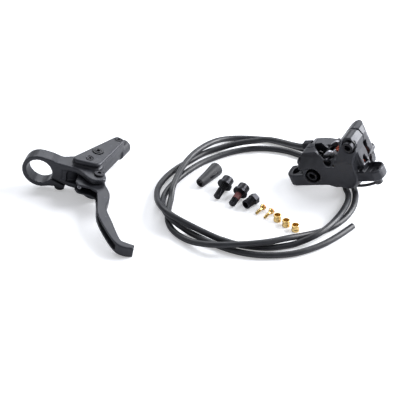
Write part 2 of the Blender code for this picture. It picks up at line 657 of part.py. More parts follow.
def lever_housing():
    half = CLAMP_WIDTH / 2
    body = rod("lever_housing", (clamp_x(), -half, 0), (clamp_x(), half, 0), clamp_radius(), DISC_SIDES, CAST_EDGE)
    lug_low = lower_lug_top() - LOWER_LUG_THICK
    fuse(body, extruded("ear", rounded(EAR_SIDE), -half, half, "XZ"),
         extruded("upper_lug", rounded(LUG_PLAN), LUG_TOP - LUG_THICK, LUG_TOP, bevel=CAST_EDGE),
         extruded("lower_lug", rounded(LUG_PLAN), lug_low, lower_lug_top(), bevel=CAST_EDGE),
         extruded("spine", rounded(SPINE_PLAN), lug_low + SPINE_STEP, LUG_TOP - SPINE_STEP),
         barrel_rod("barrel", BARREL_MOUTH, BARREL_END, BARREL_RADIUS, bevel=CAST_EDGE),
         barrel_rod("port", PORT_START, PORT_END, PORT_RADIUS, PORT_X, bevel=CAST_EDGE),
         extruded("block", block_outline(), BLOCK_BOTTOM, COVER_BOTTOM - GAP))
    cut(body, rod("bar", (clamp_x(), -half - MM, 0), (clamp_x(), half + MM, 0), BAR_DIA / 2, DISC_SIDES),
        slit_cutter(),
        upright("bolt_hole", (CLAMP_BOLT_X, 0), EAR_BOTTOM - MM, CLAMP_BOLT_TOP + GAP, CLAMP_BOLT_DIA / 2 + GAP),
        upright("pin_hole", PIVOT, lug_low - MM, LUG_TOP + MM, PIVOT_PIN_DIA / 2 + GAP),
        barrel_rod("master_bore", BARREL_MOUTH - MM, MASTER_BORE_END, MASTER_BORE_DIA / 2),
        barrel_rod("ring_groove", BARREL_MOUTH + RING_OFFSET - GAP, BARREL_MOUTH + RING_OFFSET + RING_THICK + GAP,
                   MASTER_BORE_DIA / 2 + RING_GROOVE),
        barrel_rod("passage", MASTER_BORE_END - MM, PORT_END - PORT_SOCKET_DEPTH + MM, PASSAGE_DIA / 2,
                   (BARREL_X + PORT_X) / 2, SMALL_SIDES),
        barrel_rod("socket", PORT_END - PORT_SOCKET_DEPTH, PORT_END + MM, PORT_SOCKET_DIA / 2, PORT_X),
        extruded("pocket", rounded(POCKET_PLAN), POCKET_FLOOR, COVER_BOTTOM + MM),
        upright("breather", BREATHER_PLACE, BARREL_Z, POCKET_FLOOR + MM, BREATHER_DIA / 2, SMALL_SIDES),
        *[upright("screw_hole", place, screw_bottom() - GAP, COVER_BOTTOM + MM, COVER_SCREW_DIA / 2 + GAP,
                  SMALL_SIDES) for place in (COVER_SCREW_FRONT, COVER_SCREW_REAR)])
    return body


def cover_top():
    return COVER_BOTTOM + COVER_THICK


def screw_bottom():
    return cover_top() - COVER_SCREW_SINK - COVER_SCREW_LENGTH


def reservoir_cover():
    cover = extruded("reservoir_cover", rounded(COVER_PLAN), COVER_BOTTOM, cover_top(), bevel=COVER_BEVEL, bevel_low=0.0)
    tools = []
    for place in (COVER_SCREW_FRONT, COVER_SCREW_REAR):
        tools.append(upright("seat", place, cover_top() - COVER_SCREW_SINK, cover_top() + MM,
                             COVER_SCREW_HEAD_DIA / 2 + GAP, SMALL_SIDES))
        tools.append(upright("hole", place, COVER_BOTTOM - MM, cover_top(), COVER_SCREW_DIA / 2 + GAP, SMALL_SIDES))
    tools.append(upright("bleed_seat", BLEED_PLACE, cover_top() - BLEED_RECESS, cover_top() + MM,
                         BLEED_RING_DIA / 2 + GAP))
    tools.append(upright("bleed_hole", BLEED_PLACE, COVER_BOTTOM - MM, cover_top(), BLEED_DIA / 2 + GAP, SMALL_SIDES))
    return cut(cover, *tools)


def reservoir_diaphragm():
    outline = inset(rounded(POCKET_PLAN), GAP)
    top = COVER_BOTTOM - GAP
    tray = extruded("reservoir_diaphragm", outline, top - DIAPHRAGM_DEPTH, top)
    hollow = extruded("hollow", inset(outline, DIAPHRAGM_WALL), top - DIAPHRAGM_DEPTH + DIAPHRAGM_WALL, top + MM)
    return cut(tray, hollow)


def socket_screw(name, place, top, head_dia, head_height, dia, length, socket, socket_depth, edge=TURNED_EDGE / 2):
    """A screw that stands up, its head's top at this height, with a hexagon socket."""
    radius = head_dia / 2
    seat = top - head_height
    profile = [(dia / 2 - edge, seat - length), (dia / 2, seat - length + edge), (dia / 2, seat), (radius, seat),
               (radius, top - edge), (radius - edge, top)]
    screw = turned(name, profile, SMALL_SIDES)
    screw.data.transform(Matrix.Translation(Vector((place[0], place[1], 0.0))))
    return cut(screw, hex_bar("key", (place[0], place[1], top - socket_depth), (place[0], place[1], top + MM), socket))


def cover_screw(name, place):
    top = cover_top() - COVER_SCREW_BELOW
    height = COVER_SCREW_SINK - GAP - COVER_SCREW_BELOW
    return socket_screw(name, place, top, COVER_SCREW_HEAD_DIA, height, COVER_SCREW_DIA, COVER_SCREW_LENGTH,
                        COVER_SOCKET_AF, COVER_SOCKET_DEPTH)


def bleed_screw():
    seat = cover_top() - BLEED_RECESS + GAP
    return socket_screw("bleed_screw", BLEED_PLACE, seat + BLEED_HEAD_HEIGHT, BLEED_HEAD_DIA, BLEED_HEAD_HEIGHT,
                        BLEED_DIA, BLEED_LENGTH, BLEED_SOCKET_AF, BLEED_SOCKET_DEPTH)


def washer_ring(name, place, low, high, inner, outer, sides=ROUND_SIDES):
    profile = [(inner, low), (outer, low), (outer, high), (inner, high)]
    ring = turned(name, profile, sides, closed=True)
    ring.data.transform(Matrix.Translation(Vector((place[0], place[1], 0.0))))
    return ring


def bleed_seal():
    seat = cover_top() - BLEED_RECESS + GAP
    return washer_ring("bleed_seal", BLEED_PLACE, seat, seat + BLEED_RING_HEIGHT, BLEED_HEAD_DIA / 2 + GAP,
                       BLEED_RING_DIA / 2)


def clamp_bolt():
    head_top = EAR_BOTTOM - GAP
    head_bottom = head_top - CLAMP_HEAD_HEIGHT
    edge = TURNED_EDGE
    radius = CLAMP_HEAD_DIA / 2
    profile = [(radius - edge, head_bottom), (radius, head_bottom + edge), (radius, head_top),
               (CLAMP_BOLT_DIA / 2, head_top), (CLAMP_BOLT_DIA / 2, CLAMP_BOLT_TOP - edge),
               (CLAMP_BOLT_DIA / 2 - edge, CLAMP_BOLT_TOP)]
    bolt = turned("clamp_bolt", profile)
    bolt.data.transform(Matrix.Translation(Vector((CLAMP_BOLT_X, 0.0, 0.0))))
    return cut(bolt, hex_bar("key", (CLAMP_BOLT_X, 0, head_bottom - MM),
                             (CLAMP_BOLT_X, 0, head_bottom + CLAMP_SOCKET_DEPTH), CLAMP_SOCKET_AF))


def pivot_pin():
    low = lower_lug_top() - LOWER_LUG_THICK - PIVOT_PIN_BELOW
    top = LUG_TOP + GAP + PIVOT_HEAD_HEIGHT
    return socket_screw("pivot_pin", PIVOT, top, PIVOT_HEAD_DIA, PIVOT_HEAD_HEIGHT, PIVOT_PIN_DIA,
                        LUG_TOP + GAP - low, PIVOT_SOCKET_AF, PIVOT_SOCKET_DEPTH)


def pivot_bush(name, blade_face, lug_face):
    """A flanged bush: its sleeve in the blade, its flange between blade and lug."""
    up = 1 if lug_face > blade_face else -1
    inner = PIVOT_PIN_DIA / 2 + GAP
    outer = inner + BUSH_WALL
    middle = BLADE_TOP - BLADE_HEIGHT / 2
    profile = [(inner, middle + up * GAP), (outer, middle + up * GAP), (outer, blade_face + up * GAP),
               (BUSH_FLANGE_DIA / 2, blade_face + up * GAP), (BUSH_FLANGE_DIA / 2, lug_face - up * GAP),
               (inner, lug_face - up * GAP)]
    bush = turned(name, profile, closed=True)
    bush.data.transform(Matrix.Translation(Vector((PIVOT.x, PIVOT.y, 0.0))))
    return bush


def blade_bottom():
    return BLADE_TOP - BLADE_HEIGHT


def trunnion_place():
    return barrel_point(BARREL_X, TRUNNION_ALONG)


def lever_blade():
    outer = smooth_line(BLADE_OUTER, 3)
    inner = smooth_line(BLADE_INNER, 3)
    wing = rounded([(inner[-1].x, inner[-1].y, 0.0)] + BLADE_WING + [(PIVOT.x, PIVOT.y, 0.0)])[1:-1]
    hub = arc(PIVOT, BLADE_HUB_RADIUS, math.radians(80), math.radians(0))
    blade = extruded("lever_blade", outer + inner + wing + hub, blade_bottom(), BLADE_TOP, bevel=BLADE_EDGE)
    web = shifted_line(outer, -BLADE_WEB)
    reach = web[:int(len(web) * CHANNEL_STOP)]
    far_side = [Vector((point.x - CHANNEL_REACH, point.y - CHANNEL_REACH / 3)) for point in reversed(reach)]
    wing_side = PIVOT.x - WING_REACH
    wing_low = PIVOT.y - WING_NEAR
    wing_high = PIVOT.y + WING_FAR
    channel = reach + [point for point in far_side if point.y < wing_low]
    channel += [Vector((wing_side, wing_low)), Vector((wing_side, wing_high)), Vector((reach[0].x, wing_high))]
    low = blade_bottom() + BLADE_FLANGE
    high = BLADE_TOP - BLADE_FLANGE
    cut(blade, extruded("channel", channel, low, high))
    fuse(blade, upright("hub", PIVOT, low - MM, high + MM, BLADE_HUB_RADIUS - GAP))
    return cut(blade, upright("bush_hole", PIVOT, blade_bottom() - MM, BLADE_TOP + MM,
                              PIVOT_PIN_DIA / 2 + BUSH_WALL + 2 * GAP),
               upright("trunnion_hole", trunnion_place(), blade_bottom() - MM, BLADE_TOP + MM, TRUNNION_DIA / 2 + GAP))


def trunnion():
    pin = upright("trunnion", trunnion_place(), blade_bottom(), BLADE_TOP, TRUNNION_DIA / 2, bevel=GAP)
    return cut(pin, barrel_rod("cross_hole", TRUNNION_ALONG - TRUNNION_DIA, TRUNNION_ALONG + TRUNNION_DIA,
                               PUSHROD_DIA / 2 + 1.3 * GAP, sides=SMALL_SIDES))


def piston_start():
    return BARREL_MOUTH + RING_OFFSET + RING_THICK + GAP


def pushrod():
    end = piston_start() + PISTON_CUP_DEPTH - GAP
    ball = PUSHROD_BALL_DIA / 2
    neck = PUSHROD_DIA / 2
    length = end - PUSHROD_NEAR
    centre = length - ball
    reach = math.sqrt(ball * ball - neck * neck)
    round_end = [(ball * math.cos(a), centre + ball * math.sin(a)) for a in
                 [math.atan2(-reach, neck) + k * (math.pi / 2 - math.atan2(-reach, neck)) / 4 for k in range(1, 4)]]
    profile = [(neck - GAP, 0.0), (neck, GAP), (neck, centre - reach)] + round_end + [(0.0, length)]
    part = along(turned("pushrod", profile, SMALL_SIDES), barrel_point(BARREL_X, PUSHROD_NEAR),
                 barrel_point(BARREL_X, end))
    return cut(part, hex_bar("key", barrel_point(BARREL_X, PUSHROD_NEAR - MM),
                             barrel_point(BARREL_X, PUSHROD_NEAR + ROD_SOCKET_DEPTH), ROD_SOCKET_AF))


def master_piston():
    radius = MASTER_BORE_DIA / 2 - GAP
    groove = radius - PISTON_SEAL_DEPTH
    cup = PISTON_CUP_DIA / 2
    low = PISTON_SEAL_PLACE
    high = PISTON_SEAL_PLACE + PISTON_SEAL_WIDTH + 2 * GAP
    profile = [(0.0, PISTON_CUP_DEPTH), (cup, PISTON_CUP_DEPTH), (cup, 0.0), (radius, 0.0), (radius, low),
               (groove, low), (groove, high), (radius, high), (radius, PISTON_LENGTH), (0.0, PISTON_LENGTH)]
    return barrel_turned("master_piston", profile, piston_start())


def master_seal():
    radius = MASTER_BORE_DIA / 2 - GAP
    low = PISTON_SEAL_PLACE + GAP
    profile = [(radius - PISTON_SEAL_DEPTH + GAP, low), (radius, low), (radius, low + PISTON_SEAL_WIDTH),
               (radius - PISTON_SEAL_DEPTH + GAP, low + PISTON_SEAL_WIDTH)]
    return barrel_turned("master_seal", profile, piston_start(), closed=True)


def retaining_ring():
    outer = MASTER_BORE_DIA / 2 + RING_GROOVE - GAP
    profile = [(RING_BORE_DIA / 2, 0.0), (outer, 0.0), (outer, RING_THICK), (RING_BORE_DIA / 2, RING_THICK)]
    return barrel_turned("retaining_ring", profile, BARREL_MOUTH + RING_OFFSET, closed=True)


def swept(name, path, radius, sides=WIRE_SIDES):
    """A round wire along a path of points."""
    curve = bpy.data.curves.new(name, "CURVE")
    curve.dimensions = "3D"
    curve.bevel_depth = radius
    curve.bevel_resolution = sides // 2 - 2
    curve.use_fill_caps = True
    spline = curve.splines.new("POLY")
    spline.points.add(len(path) - 1)
    for point, place in zip(spline.points, path):
        point.co = (*place, 1.0)
    item = bpy.data.objects.new(name, curve)
    bpy.context.scene.collection.objects.link(item)
    return item


def as_mesh(item):
    """Replaces a curve by the mesh it draws."""
    bpy.context.view_layer.update()
    mesh = bpy.data.meshes.new_from_object(item.evaluated_get(bpy.context.evaluated_depsgraph_get()))
    solid = bpy.data.objects.new(item.name, mesh)
    name = item.name
    bpy.data.objects.remove(item, do_unlink=True)
    solid.name = name
    bpy.context.scene.collection.objects.link(solid)
    shape = bmesh.new()
    shape.from_mesh(mesh)
    bmesh.ops.remove_doubles(shape, verts=shape.verts[:], dist=MERGE)
    bmesh.ops.recalc_face_normals(shape, faces=shape.faces[:])
    shape.to_mesh(mesh)
    shape.free()
    return solid


def return_spring():
    start = piston_start() + PISTON_LENGTH + GAP + SPRING_WIRE_DIA / 2
    end = MASTER_BORE_END - GAP - SPRING_WIRE_DIA / 2
    radius = SPRING_COIL_DIA / 2
    count = SPRING_TURNS * SPRING_TURN_POINTS
    path = []
    for index in range(count + 1):
        angle = 2 * math.pi * index / SPRING_TURN_POINTS
        along_barrel = start + (end - start) * index / count
        path.append(barrel_point(BARREL_X + radius * math.cos(angle), along_barrel, BARREL_Z + radius * math.sin(angle)))
    return as_mesh(swept("return_spring", path, SPRING_WIRE_DIA / 2, SPRING_SIDES))


def build_lever():
    frame = frame_empty("lever_frame", LEVER_PLACE - LAYOUT_CENTRE, LEVER_TURN, "YXZ")
    pivot = (PIVOT.x, PIVOT.y, BARREL_Z)
    hinge = trunnion_place()
    on_barrel = barrel_point(BARREL_X, piston_start())
    upper_face = LUG_TOP - LUG_THICK
    items = [
        finish(lever_housing(), PAINT, frame),
        finish(reservoir_cover(), PAINT, frame),
        finish(reservoir_diaphragm(), RUBBER, frame),
        finish(cover_screw("cover_screw_front", COVER_SCREW_FRONT), BLACK_STEEL, frame),
        finish(cover_screw("cover_screw_rear", COVER_SCREW_REAR), BLACK_STEEL, frame),
        finish(bleed_screw(), BLACK_STEEL, frame),
        finish(bleed_seal(), RUBBER, frame),
        finish(clamp_bolt(), BLACK_STEEL, frame),
        finish(pivot_pin(), BLACK_STEEL, frame),
        finish(pivot_bush("pivot_bush_upper", BLADE_TOP, upper_face), BRASS, frame, pivot),
        finish(pivot_bush("pivot_bush_lower", blade_bottom(), lower_lug_top()), BRASS, frame, pivot),
        finish(lever_blade(), PAINT, frame, pivot),
        finish(trunnion(), STEEL, frame, hinge),
        finish(pushrod(), STEEL, frame, on_barrel),
        finish(master_piston(), ALLOY, frame, on_barrel),
        finish(master_seal(), RUBBER, frame, on_barrel),
        finish(return_spring(), STEEL, frame),
        finish(retaining_ring(), STEEL, frame),
    ]
    set_down(frame, items)
    return frame


# Caliper


def radial(across, up):
    """The x and z of a point given across and up the line from the rotor's centre through the pistons."""
    cosine = math.cos(RADIAL_TURN)
    sine = math.sin(RADIAL_TURN)
    return (LOBE_X + across * cosine - up * sine, LOBE_Z + across * sine + up * cosine)


def through(name, place, start, end, radius, sides=ROUND_SIDES, bevel=0.0):
    """A round bar along the rotor's axis."""
    return rod(name, (place[0], start, place[1]), (place[0], end, place[1]), radius, sides, bevel)


def seat_plane(side, depth):
    """The y of a plane at a depth from the rotor's middle plane; side is -1 for the near half and 1 for the far."""
    return SEAM_Y + side * depth


def pad_back():
    """How far the back of a pad lies from the rotor's middle plane."""
    return PAD_GAP / 2 + LINING_THICK + GAP + PLATE_THICK


def pocket_depth():
    return pad_back() + GAP


def bore_end():
    return pocket_depth() + CALIPER_PISTON_LENGTH + BORE_END_ROOM


def bolt_place(which):
    """The lower bolt is at -1, the upper at 1."""
    return radial(which * BOLT_ACROSS, BOLT_UP)


def half_body(name, side, lobe_depth):
    """Core block, piston lobe and bolt bosses of one half, from the seam outwards."""
    seam = seat_plane(side, GAP / 2)
    body = extruded(name, rounded(CORE_SIDE), *sorted((seam, seat_plane(side, CORE_HALF))), "XZ")
    lobe = through("lobe", (LOBE_X, LOBE_Z), seam, seat_plane(side, lobe_depth), LOBE_RADIUS, DISC_SIDES, LOBE_ROUND)
    return fuse(body, lobe)


def half_cuts(side):
    """Pad pocket, rotor slot, piston bore with its seal groove, and the pad axle's hole."""
    corners = [radial(a, b) for a, b in ((-POCKET_HALF, POCKET_LOW), (POCKET_HALF, POCKET_LOW),
                                         (POCKET_HALF, POCKET_HIGH), (-POCKET_HALF, POCKET_HIGH))]
    pocket = extruded("pocket", corners, *sorted((SEAM_Y, seat_plane(side, pocket_depth()))), "XZ")
    rotor = through("rotor", radial(0.0, -ROTOR_TO_LOBE), SEAM_Y, seat_plane(side, ROTOR_SLOT / 2),
                    ROTOR_RADIUS + ROTOR_CLEAR, ROTOR_SIDES)
    bore = through("bore", (LOBE_X, LOBE_Z), SEAM_Y, seat_plane(side, bore_end()), PISTON_DIA / 2 + GAP, DISC_SIDES)
    groove_start = pocket_depth() + SEAL_PLACE - GAP
    groove = through("groove", (LOBE_X, LOBE_Z), seat_plane(side, groove_start),
                     seat_plane(side, groove_start + SEAL_WIDTH + 2 * GAP), PISTON_DIA / 2 + SEAL_DEPTH + 2 * GAP, DISC_SIDES)
    return [pocket, rotor, bore, groove]


def ear(name, outline, thick):
    return extruded(name, outline, -thick, 0.0, bevel=EAR_BEVEL)


def caliper_half_near():
    body = half_body("caliper_half_near", -1, LOBE_NEAR)
    core_face = seat_plane(-1, CORE_HALF)
    lower = bolt_place(-1)
    upper = bolt_place(1)
    fuse(body, ear("left_ear", rounded(LEFT_EAR_PLAN), LEFT_EAR_THICK),
         ear("right_ear", rounded(RIGHT_EAR_PLAN), RIGHT_EAR_THICK),
         through("lower_boss", lower, core_face - LOWER_BOSS_RISE, SEAM_Y - MM, LOWER_BOSS_DIA / 2, bevel=CORE_BEVEL),
         through("upper_boss", upper, core_face - UPPER_BOSS_RISE, SEAM_Y - MM, UPPER_BOSS_DIA / 2, bevel=CORE_BEVEL))
    tools = half_cuts(-1)
    for x in (0.0, EAR_SPACING):
        tools.append(extruded("slot", stadium((x, 0.0), EAR_SLOT_WIDTH, EAR_SLOT_LENGTH), -BEYOND, BEYOND))
    for place, seat in ((lower, lower_bolt_seat()), (upper, upper_seat())):
        tools.append(through("counterbore", place, core_face - BEYOND, seat, COUNTERBORE_DIA / 2))
        tools.append(through("bolt_hole", place, core_face - BEYOND, SEAM_Y, BOLT_DIA / 2 + GAP, SMALL_SIDES))
    tools.append(through("axle_hole", radial(*AXLE_PLACE), core_face - BEYOND, SEAM_Y, AXLE_DIA / 2 + GAP, SMALL_SIDES))
    tools.append(through("axle_seat", radial(*AXLE_PLACE), core_face - BEYOND, core_face + AXLE_HEAD_HEIGHT / 2,
                         AXLE_HEAD_DIA / 2 + GAP, SMALL_SIDES))
    tools.append(through("transfer_seat", (TRANSFER_X, TRANSFER_Z), seat_plane(-1, GAP / 2 + TRANSFER_DEPTH), SEAM_Y,
                         TRANSFER_DIA / 2 + GAP, SMALL_SIDES))
    tools.append(through("transfer_hole", (TRANSFER_X, TRANSFER_Z), seat_plane(-1, CORE_HALF / 2), SEAM_Y,
                         TRANSFER_HOLE_DIA / 2, SMALL_SIDES))
    return cut(body, *tools)


def upper_seat():
    return seat_plane(-1, CORE_HALF) - UPPER_BOSS_RISE + UPPER_SEAT_DEPTH


def lower_bolt_seat():
    return seat_plane(-1, CORE_HALF) - LOWER_BOSS_RISE + LOWER_SEAT + BOLT_HEAD_HEIGHT


def bolt_end():
    return seat_plane(1, CORE_HALF) - BOLT_END_WALL


def caliper_half_far():
    body = half_body("caliper_half_far", 1, LOBE_FAR)
    port_start = (PORT_FACE_X, PORT_Y, PORT_Z)
    port_end = (PORT_FACE_X + PORT_BOSS_LENGTH, PORT_Y, PORT_Z)
    nipple_start = NIPPLE_BASE - NIPPLE_AXIS * NIPPLE_BOSS_LENGTH
    fuse(body, rod("port_boss", port_start, port_end, PORT_BOSS_RADIUS, bevel=CORE_BEVEL),
         rod("nipple_boss", nipple_start, NIPPLE_BASE, NIPPLE_BOSS_RADIUS, bevel=CAST_EDGE))
    tools = half_cuts(1)
    for which in (-1, 1):
        tools.append(through("bolt_hole", bolt_place(which), SEAM_Y, bolt_end() + GAP, BOLT_DIA / 2 + GAP,
                             SMALL_SIDES))
    tools.append(through("axle_hole", radial(*AXLE_PLACE), SEAM_Y, axle_end() + GAP, AXLE_DIA / 2 + GAP, SMALL_SIDES))
    tools.append(through("transfer_hole", (TRANSFER_X, TRANSFER_Z), SEAM_Y, PORT_Y + TRANSFER_HOLE_DIA,
                         TRANSFER_HOLE_DIA / 2, SMALL_SIDES))
    tools.append(rod("port_spotface", (PORT_FACE_X - BEYOND, PORT_Y, PORT_Z), port_start, PORT_BOSS_RADIUS + GAP))
    tools.append(rod("port_socket", (PORT_FACE_X - MM, PORT_Y, PORT_Z),
                     (PORT_FACE_X + NUT_SHANK_LENGTH + GAP, PORT_Y, PORT_Z), NUT_SHANK_DIA / 2 + GAP))
    tools.append(rod("port_drilling", port_start, (TRANSFER_X + TRANSFER_HOLE_DIA, PORT_Y, PORT_Z),
                     PORT_DRILL_RADIUS, SMALL_SIDES))
    tools.append(rod("nipple_hole", NIPPLE_BASE - NIPPLE_AXIS * (NIPPLE_SHANK + GAP), NIPPLE_BASE + NIPPLE_AXIS * MM,
                     NIPPLE_THREAD_RADIUS + GAP, SMALL_SIDES))
    return cut(body, *tools)


def body_bolt(name, place, seat):
    """A cap bolt along the rotor's axis, its head towards the viewer's side."""
    edge = TURNED_EDGE
    radius = BOLT_HEAD_DIA / 2
    head = seat - GAP - BOLT_HEAD_HEIGHT
    length = bolt_end() - head
    profile = [(radius - edge, 0.0), (radius, edge), (radius, BOLT_HEAD_HEIGHT), (BOLT_DIA / 2, BOLT_HEAD_HEIGHT),
               (BOLT_DIA / 2, length - edge), (BOLT_DIA / 2 - edge, length)]
    start = Vector((place[0], head, place[1]))
    ahead = Vector((0, length, 0))
    bolt = along(turned(name, profile), start, start + ahead)
    return cut(bolt, hex_bar("key", start - Vector((0, MM, 0)), start + Vector((0, SOCKET_DEPTH, 0)), SOCKET_AF))


def bolt_ring():
    """The ring round the upper bolt's head."""
    place = bolt_place(1)
    inner = BOLT_HEAD_DIA / 2 + GAP
    start = Vector((place[0], upper_seat() - GAP, place[1]))
    profile = [(inner, 0.0), (COUNTERBORE_DIA / 2 - GAP, 0.0), (COUNTERBORE_DIA / 2 - GAP, RING_WALL), (inner, RING_WALL)]
    return along(turned("bolt_ring", profile, closed=True), start, start - Vector((0, MM, 0)))


def transfer_seal():
    outer = TRANSFER_DIA / 2
    inner = TRANSFER_HOLE_DIA / 2 + GAP
    low = seat_plane(-1, GAP / 2 + TRANSFER_DEPTH) + GAP
    start = Vector((TRANSFER_X, low, TRANSFER_Z))
    height = SEAM_Y - low
    profile = [(inner, 0.0), (outer, 0.0), (outer, height), (inner, height)]
    return along(turned("transfer_seal", profile, SMALL_SIDES, closed=True), start, start + Vector((0, MM, 0)))


def side_turned(name, profile, side, depth, sides=DISC_SIDES, closed=False):
    """A turned piece on the pistons' axis, from a depth outwards."""
    start = Vector((LOBE_X, seat_plane(side, depth), LOBE_Z))
    return along(turned(name, profile, sides, closed), start, start + Vector((0, side * MM, 0)))


def caliper_piston(name, side):
    radius = PISTON_DIA / 2
    hollow = PISTON_HOLLOW_DIA / 2
    edge = TURNED_EDGE
    length = CALIPER_PISTON_LENGTH
    profile = [(0.0, PISTON_HOLLOW_DEPTH), (hollow, PISTON_HOLLOW_DEPTH), (hollow, 0.0), (radius - edge, 0.0),
               (radius, edge), (radius, length - edge), (radius - edge, length), (0.0, length)]
    return side_turned(name, profile, side, pocket_depth())


def piston_seal(name, side):
    inner = PISTON_DIA / 2 + GAP
    outer = inner + SEAL_DEPTH
    profile = [(inner, 0.0), (outer, 0.0), (outer, SEAL_WIDTH), (inner, SEAL_WIDTH)]
    return side_turned(name, profile, side, pocket_depth() + SEAL_PLACE, closed=True)


def radial_outline(corners):
    return [Vector(radial(point.x, point.y)) for point in rounded(corners)]


def pad_plate(name, side):
    low, high = sorted((seat_plane(side, pad_back() - PLATE_THICK), seat_plane(side, pad_back())))
    plate = extruded(name, radial_outline(PLATE_SHAPE), low, high, "XZ")
    return cut(plate, through("hole", radial(*AXLE_PLACE), low - MM, high + MM, AXLE_DIA / 2 + GAP, SMALL_SIDES))


def pad_lining(name, side):
    low, high = sorted((seat_plane(side, PAD_GAP / 2), seat_plane(side, PAD_GAP / 2 + LINING_THICK)))
    return extruded(name, radial_outline(LINING_SHAPE), low, high, "XZ")


def pad_spring():
    """A bent sheet: two legs inside the pad plates, joined by an arch above the rotor."""
    half = pad_back() - PLATE_THICK - GAP
    rise = PAD_SPRING_TOP - half
    outer = [Vector((half, PAD_SPRING_LOW))] + arc((0.0, rise), half, 0.0, math.pi) + [Vector((-half, PAD_SPRING_LOW))]
    thin = half - PAD_SPRING_SHEET
    inner = [Vector((-thin, PAD_SPRING_LOW))] + arc((0.0, rise), thin, math.pi, 0.0) + [Vector((thin, PAD_SPRING_LOW))]
    sheet = extruded("pad_spring", outer + inner, -PAD_SPRING_HALF, PAD_SPRING_HALF, "YZ")
    turn = Matrix.Rotation(-RADIAL_TURN, 4, "Y")
    sheet.data.transform(Matrix.Translation(Vector((LOBE_X, SEAM_Y, LOBE_Z))) @ turn)
    return cut(sheet, through("notch", radial(*AXLE_PLACE), SEAM_Y - BEYOND, SEAM_Y + BEYOND, AXLE_NOTCH_DIA / 2,
                              SMALL_SIDES))


def axle_end():
    return seat_plane(1, CORE_HALF) - AXLE_END_WALL


def pad_axle():
    head = seat_plane(-1, CORE_HALF) + AXLE_HEAD_HEIGHT / 2 - GAP - AXLE_HEAD_HEIGHT
    place = radial(*AXLE_PLACE)
    start = Vector((place[0], head, place[1]))
    length = axle_end() - head
    profile = [(AXLE_HEAD_DIA / 2, 0.0), (AXLE_HEAD_DIA / 2, AXLE_HEAD_HEIGHT), (AXLE_DIA / 2, AXLE_HEAD_HEIGHT),
               (AXLE_DIA / 2, length)]
    axle = along(turned("pad_axle", profile, SMALL_SIDES), start, start + Vector((0, length, 0)))
    return cut(axle, hex_bar("key", start - Vector((0, MM, 0)), start + Vector((0, AXLE_SOCKET_DEPTH, 0)),
                             AXLE_SOCKET_AF))


def hose_nut():
    face = PORT_FACE_X - GAP
    start = Vector((face - NUT_HEX_LENGTH, PORT_Y, PORT_Z))
    seat = Vector((face, PORT_Y, PORT_Z))
    nut = hex_bar("hose_nut", start, seat, NUT_AF)
    fuse(nut, rod("shank", seat - Vector((MM, 0, 0)), seat + Vector((NUT_SHANK_LENGTH, 0, 0)), NUT_SHANK_DIA / 2, SMALL_SIDES))
    return cut(nut, rod("bore", start - Vector((MM, 0, 0)), seat + Vector((NUT_SHANK_LENGTH + MM, 0, 0)),
                        HOSE_DIA / 2 + 1.5 * GAP))


def bleed_nipple():
    profile = [(NIPPLE_THREAD_RADIUS, -NIPPLE_SHANK), (NIPPLE_THREAD_RADIUS, 0.0)] + NIPPLE_SHAPE
    start = NIPPLE_BASE + NIPPLE_AXIS * GAP
    nipple = along(turned("bleed_nipple", profile, SMALL_SIDES), start, start + NIPPLE_AXIS * MM)
    return cut(nipple, rod("drilling", start - NIPPLE_AXIS * BEYOND, start + NIPPLE_AXIS * BEYOND, NIPPLE_DRILL_RADIUS,
                           WIRE_SIDES))


def bleed_cap():
    """A soft cap on the nipple, with a strap that loops back under the caliper."""
    start = NIPPLE_BASE + NIPPLE_AXIS * (GAP + CAP_START)
    end = start + NIPPLE_AXIS * CAP_LENGTH
    cap = rod("bleed_cap", start, end, CAP_RADIUS, bevel=TURNED_EDGE)
    fuse(cap, as_mesh(swept("strap", smooth_line(STRAP_ROUTE, 2), STRAP_DIA / 2)))
    return cut(cap, rod("hollow", start - NIPPLE_AXIS * MM, end - NIPPLE_AXIS * CAP_WALL, CAP_RADIUS - CAP_WALL,
                        SMALL_SIDES))


def build_caliper():
    frame = frame_empty("caliper_frame", CALIPER_PLACE - LAYOUT_CENTRE, CALIPER_TURN)
    near_origin = (LOBE_X, seat_plane(-1, pocket_depth()), LOBE_Z)
    far_origin = (LOBE_X, seat_plane(1, pocket_depth()), LOBE_Z)
    items = [
        finish(caliper_half_near(), PAINT, frame),
        finish(caliper_half_far(), PAINT, frame),
        finish(body_bolt("body_bolt_lower", bolt_place(-1), lower_bolt_seat()), BLACK_STEEL, frame),
        finish(body_bolt("body_bolt_upper", bolt_place(1), upper_seat()), BLACK_STEEL, frame),
        finish(bolt_ring(), RUBBER, frame),
        finish(transfer_seal(), RUBBER, frame),
        finish(caliper_piston("piston_near", -1), PHENOLIC, frame, near_origin),
        finish(caliper_piston("piston_far", 1), PHENOLIC, frame, far_origin),
        finish(piston_seal("piston_seal_near", -1), RUBBER, frame),
        finish(piston_seal("piston_seal_far", 1), RUBBER, frame),
        finish(pad_plate("pad_plate_near", -1), STEEL, frame, near_origin),
        finish(pad_plate("pad_plate_far", 1), STEEL, frame, far_origin),
        finish(pad_lining("pad_lining_near", -1), LINING, frame, near_origin),
        finish(pad_lining("pad_lining_far", 1), LINING, frame, far_origin),
        finish(pad_spring(), STEEL, frame),
        finish(pad_axle(), BLACK_STEEL, frame),
        finish(bleed_nipple(), STEEL, frame),
        finish(bleed_cap(), RUBBER, frame),
        finish(hose_nut(), BLACK_STEEL, frame),
    ]
    set_down(frame, items)
    return frame


# Hose


def evenly(path, count):
    """The same path, read at evenly spaced points."""
    lengths = [0.0]
    for before, after in zip(path, path[1:]):
        lengths.append(lengths[-1] + (after - before).length)
    result = []
    index = 0
    for step in range(count):
        target = lengths[-1] * step / (count - 1)
        while index < len(path) - 2 and lengths[index + 1] < target:
            index += 1
        share = (target - lengths[index]) / (lengths[index + 1] - lengths[index])
        result.append(path[index].lerp(path[index + 1], share))
    return result


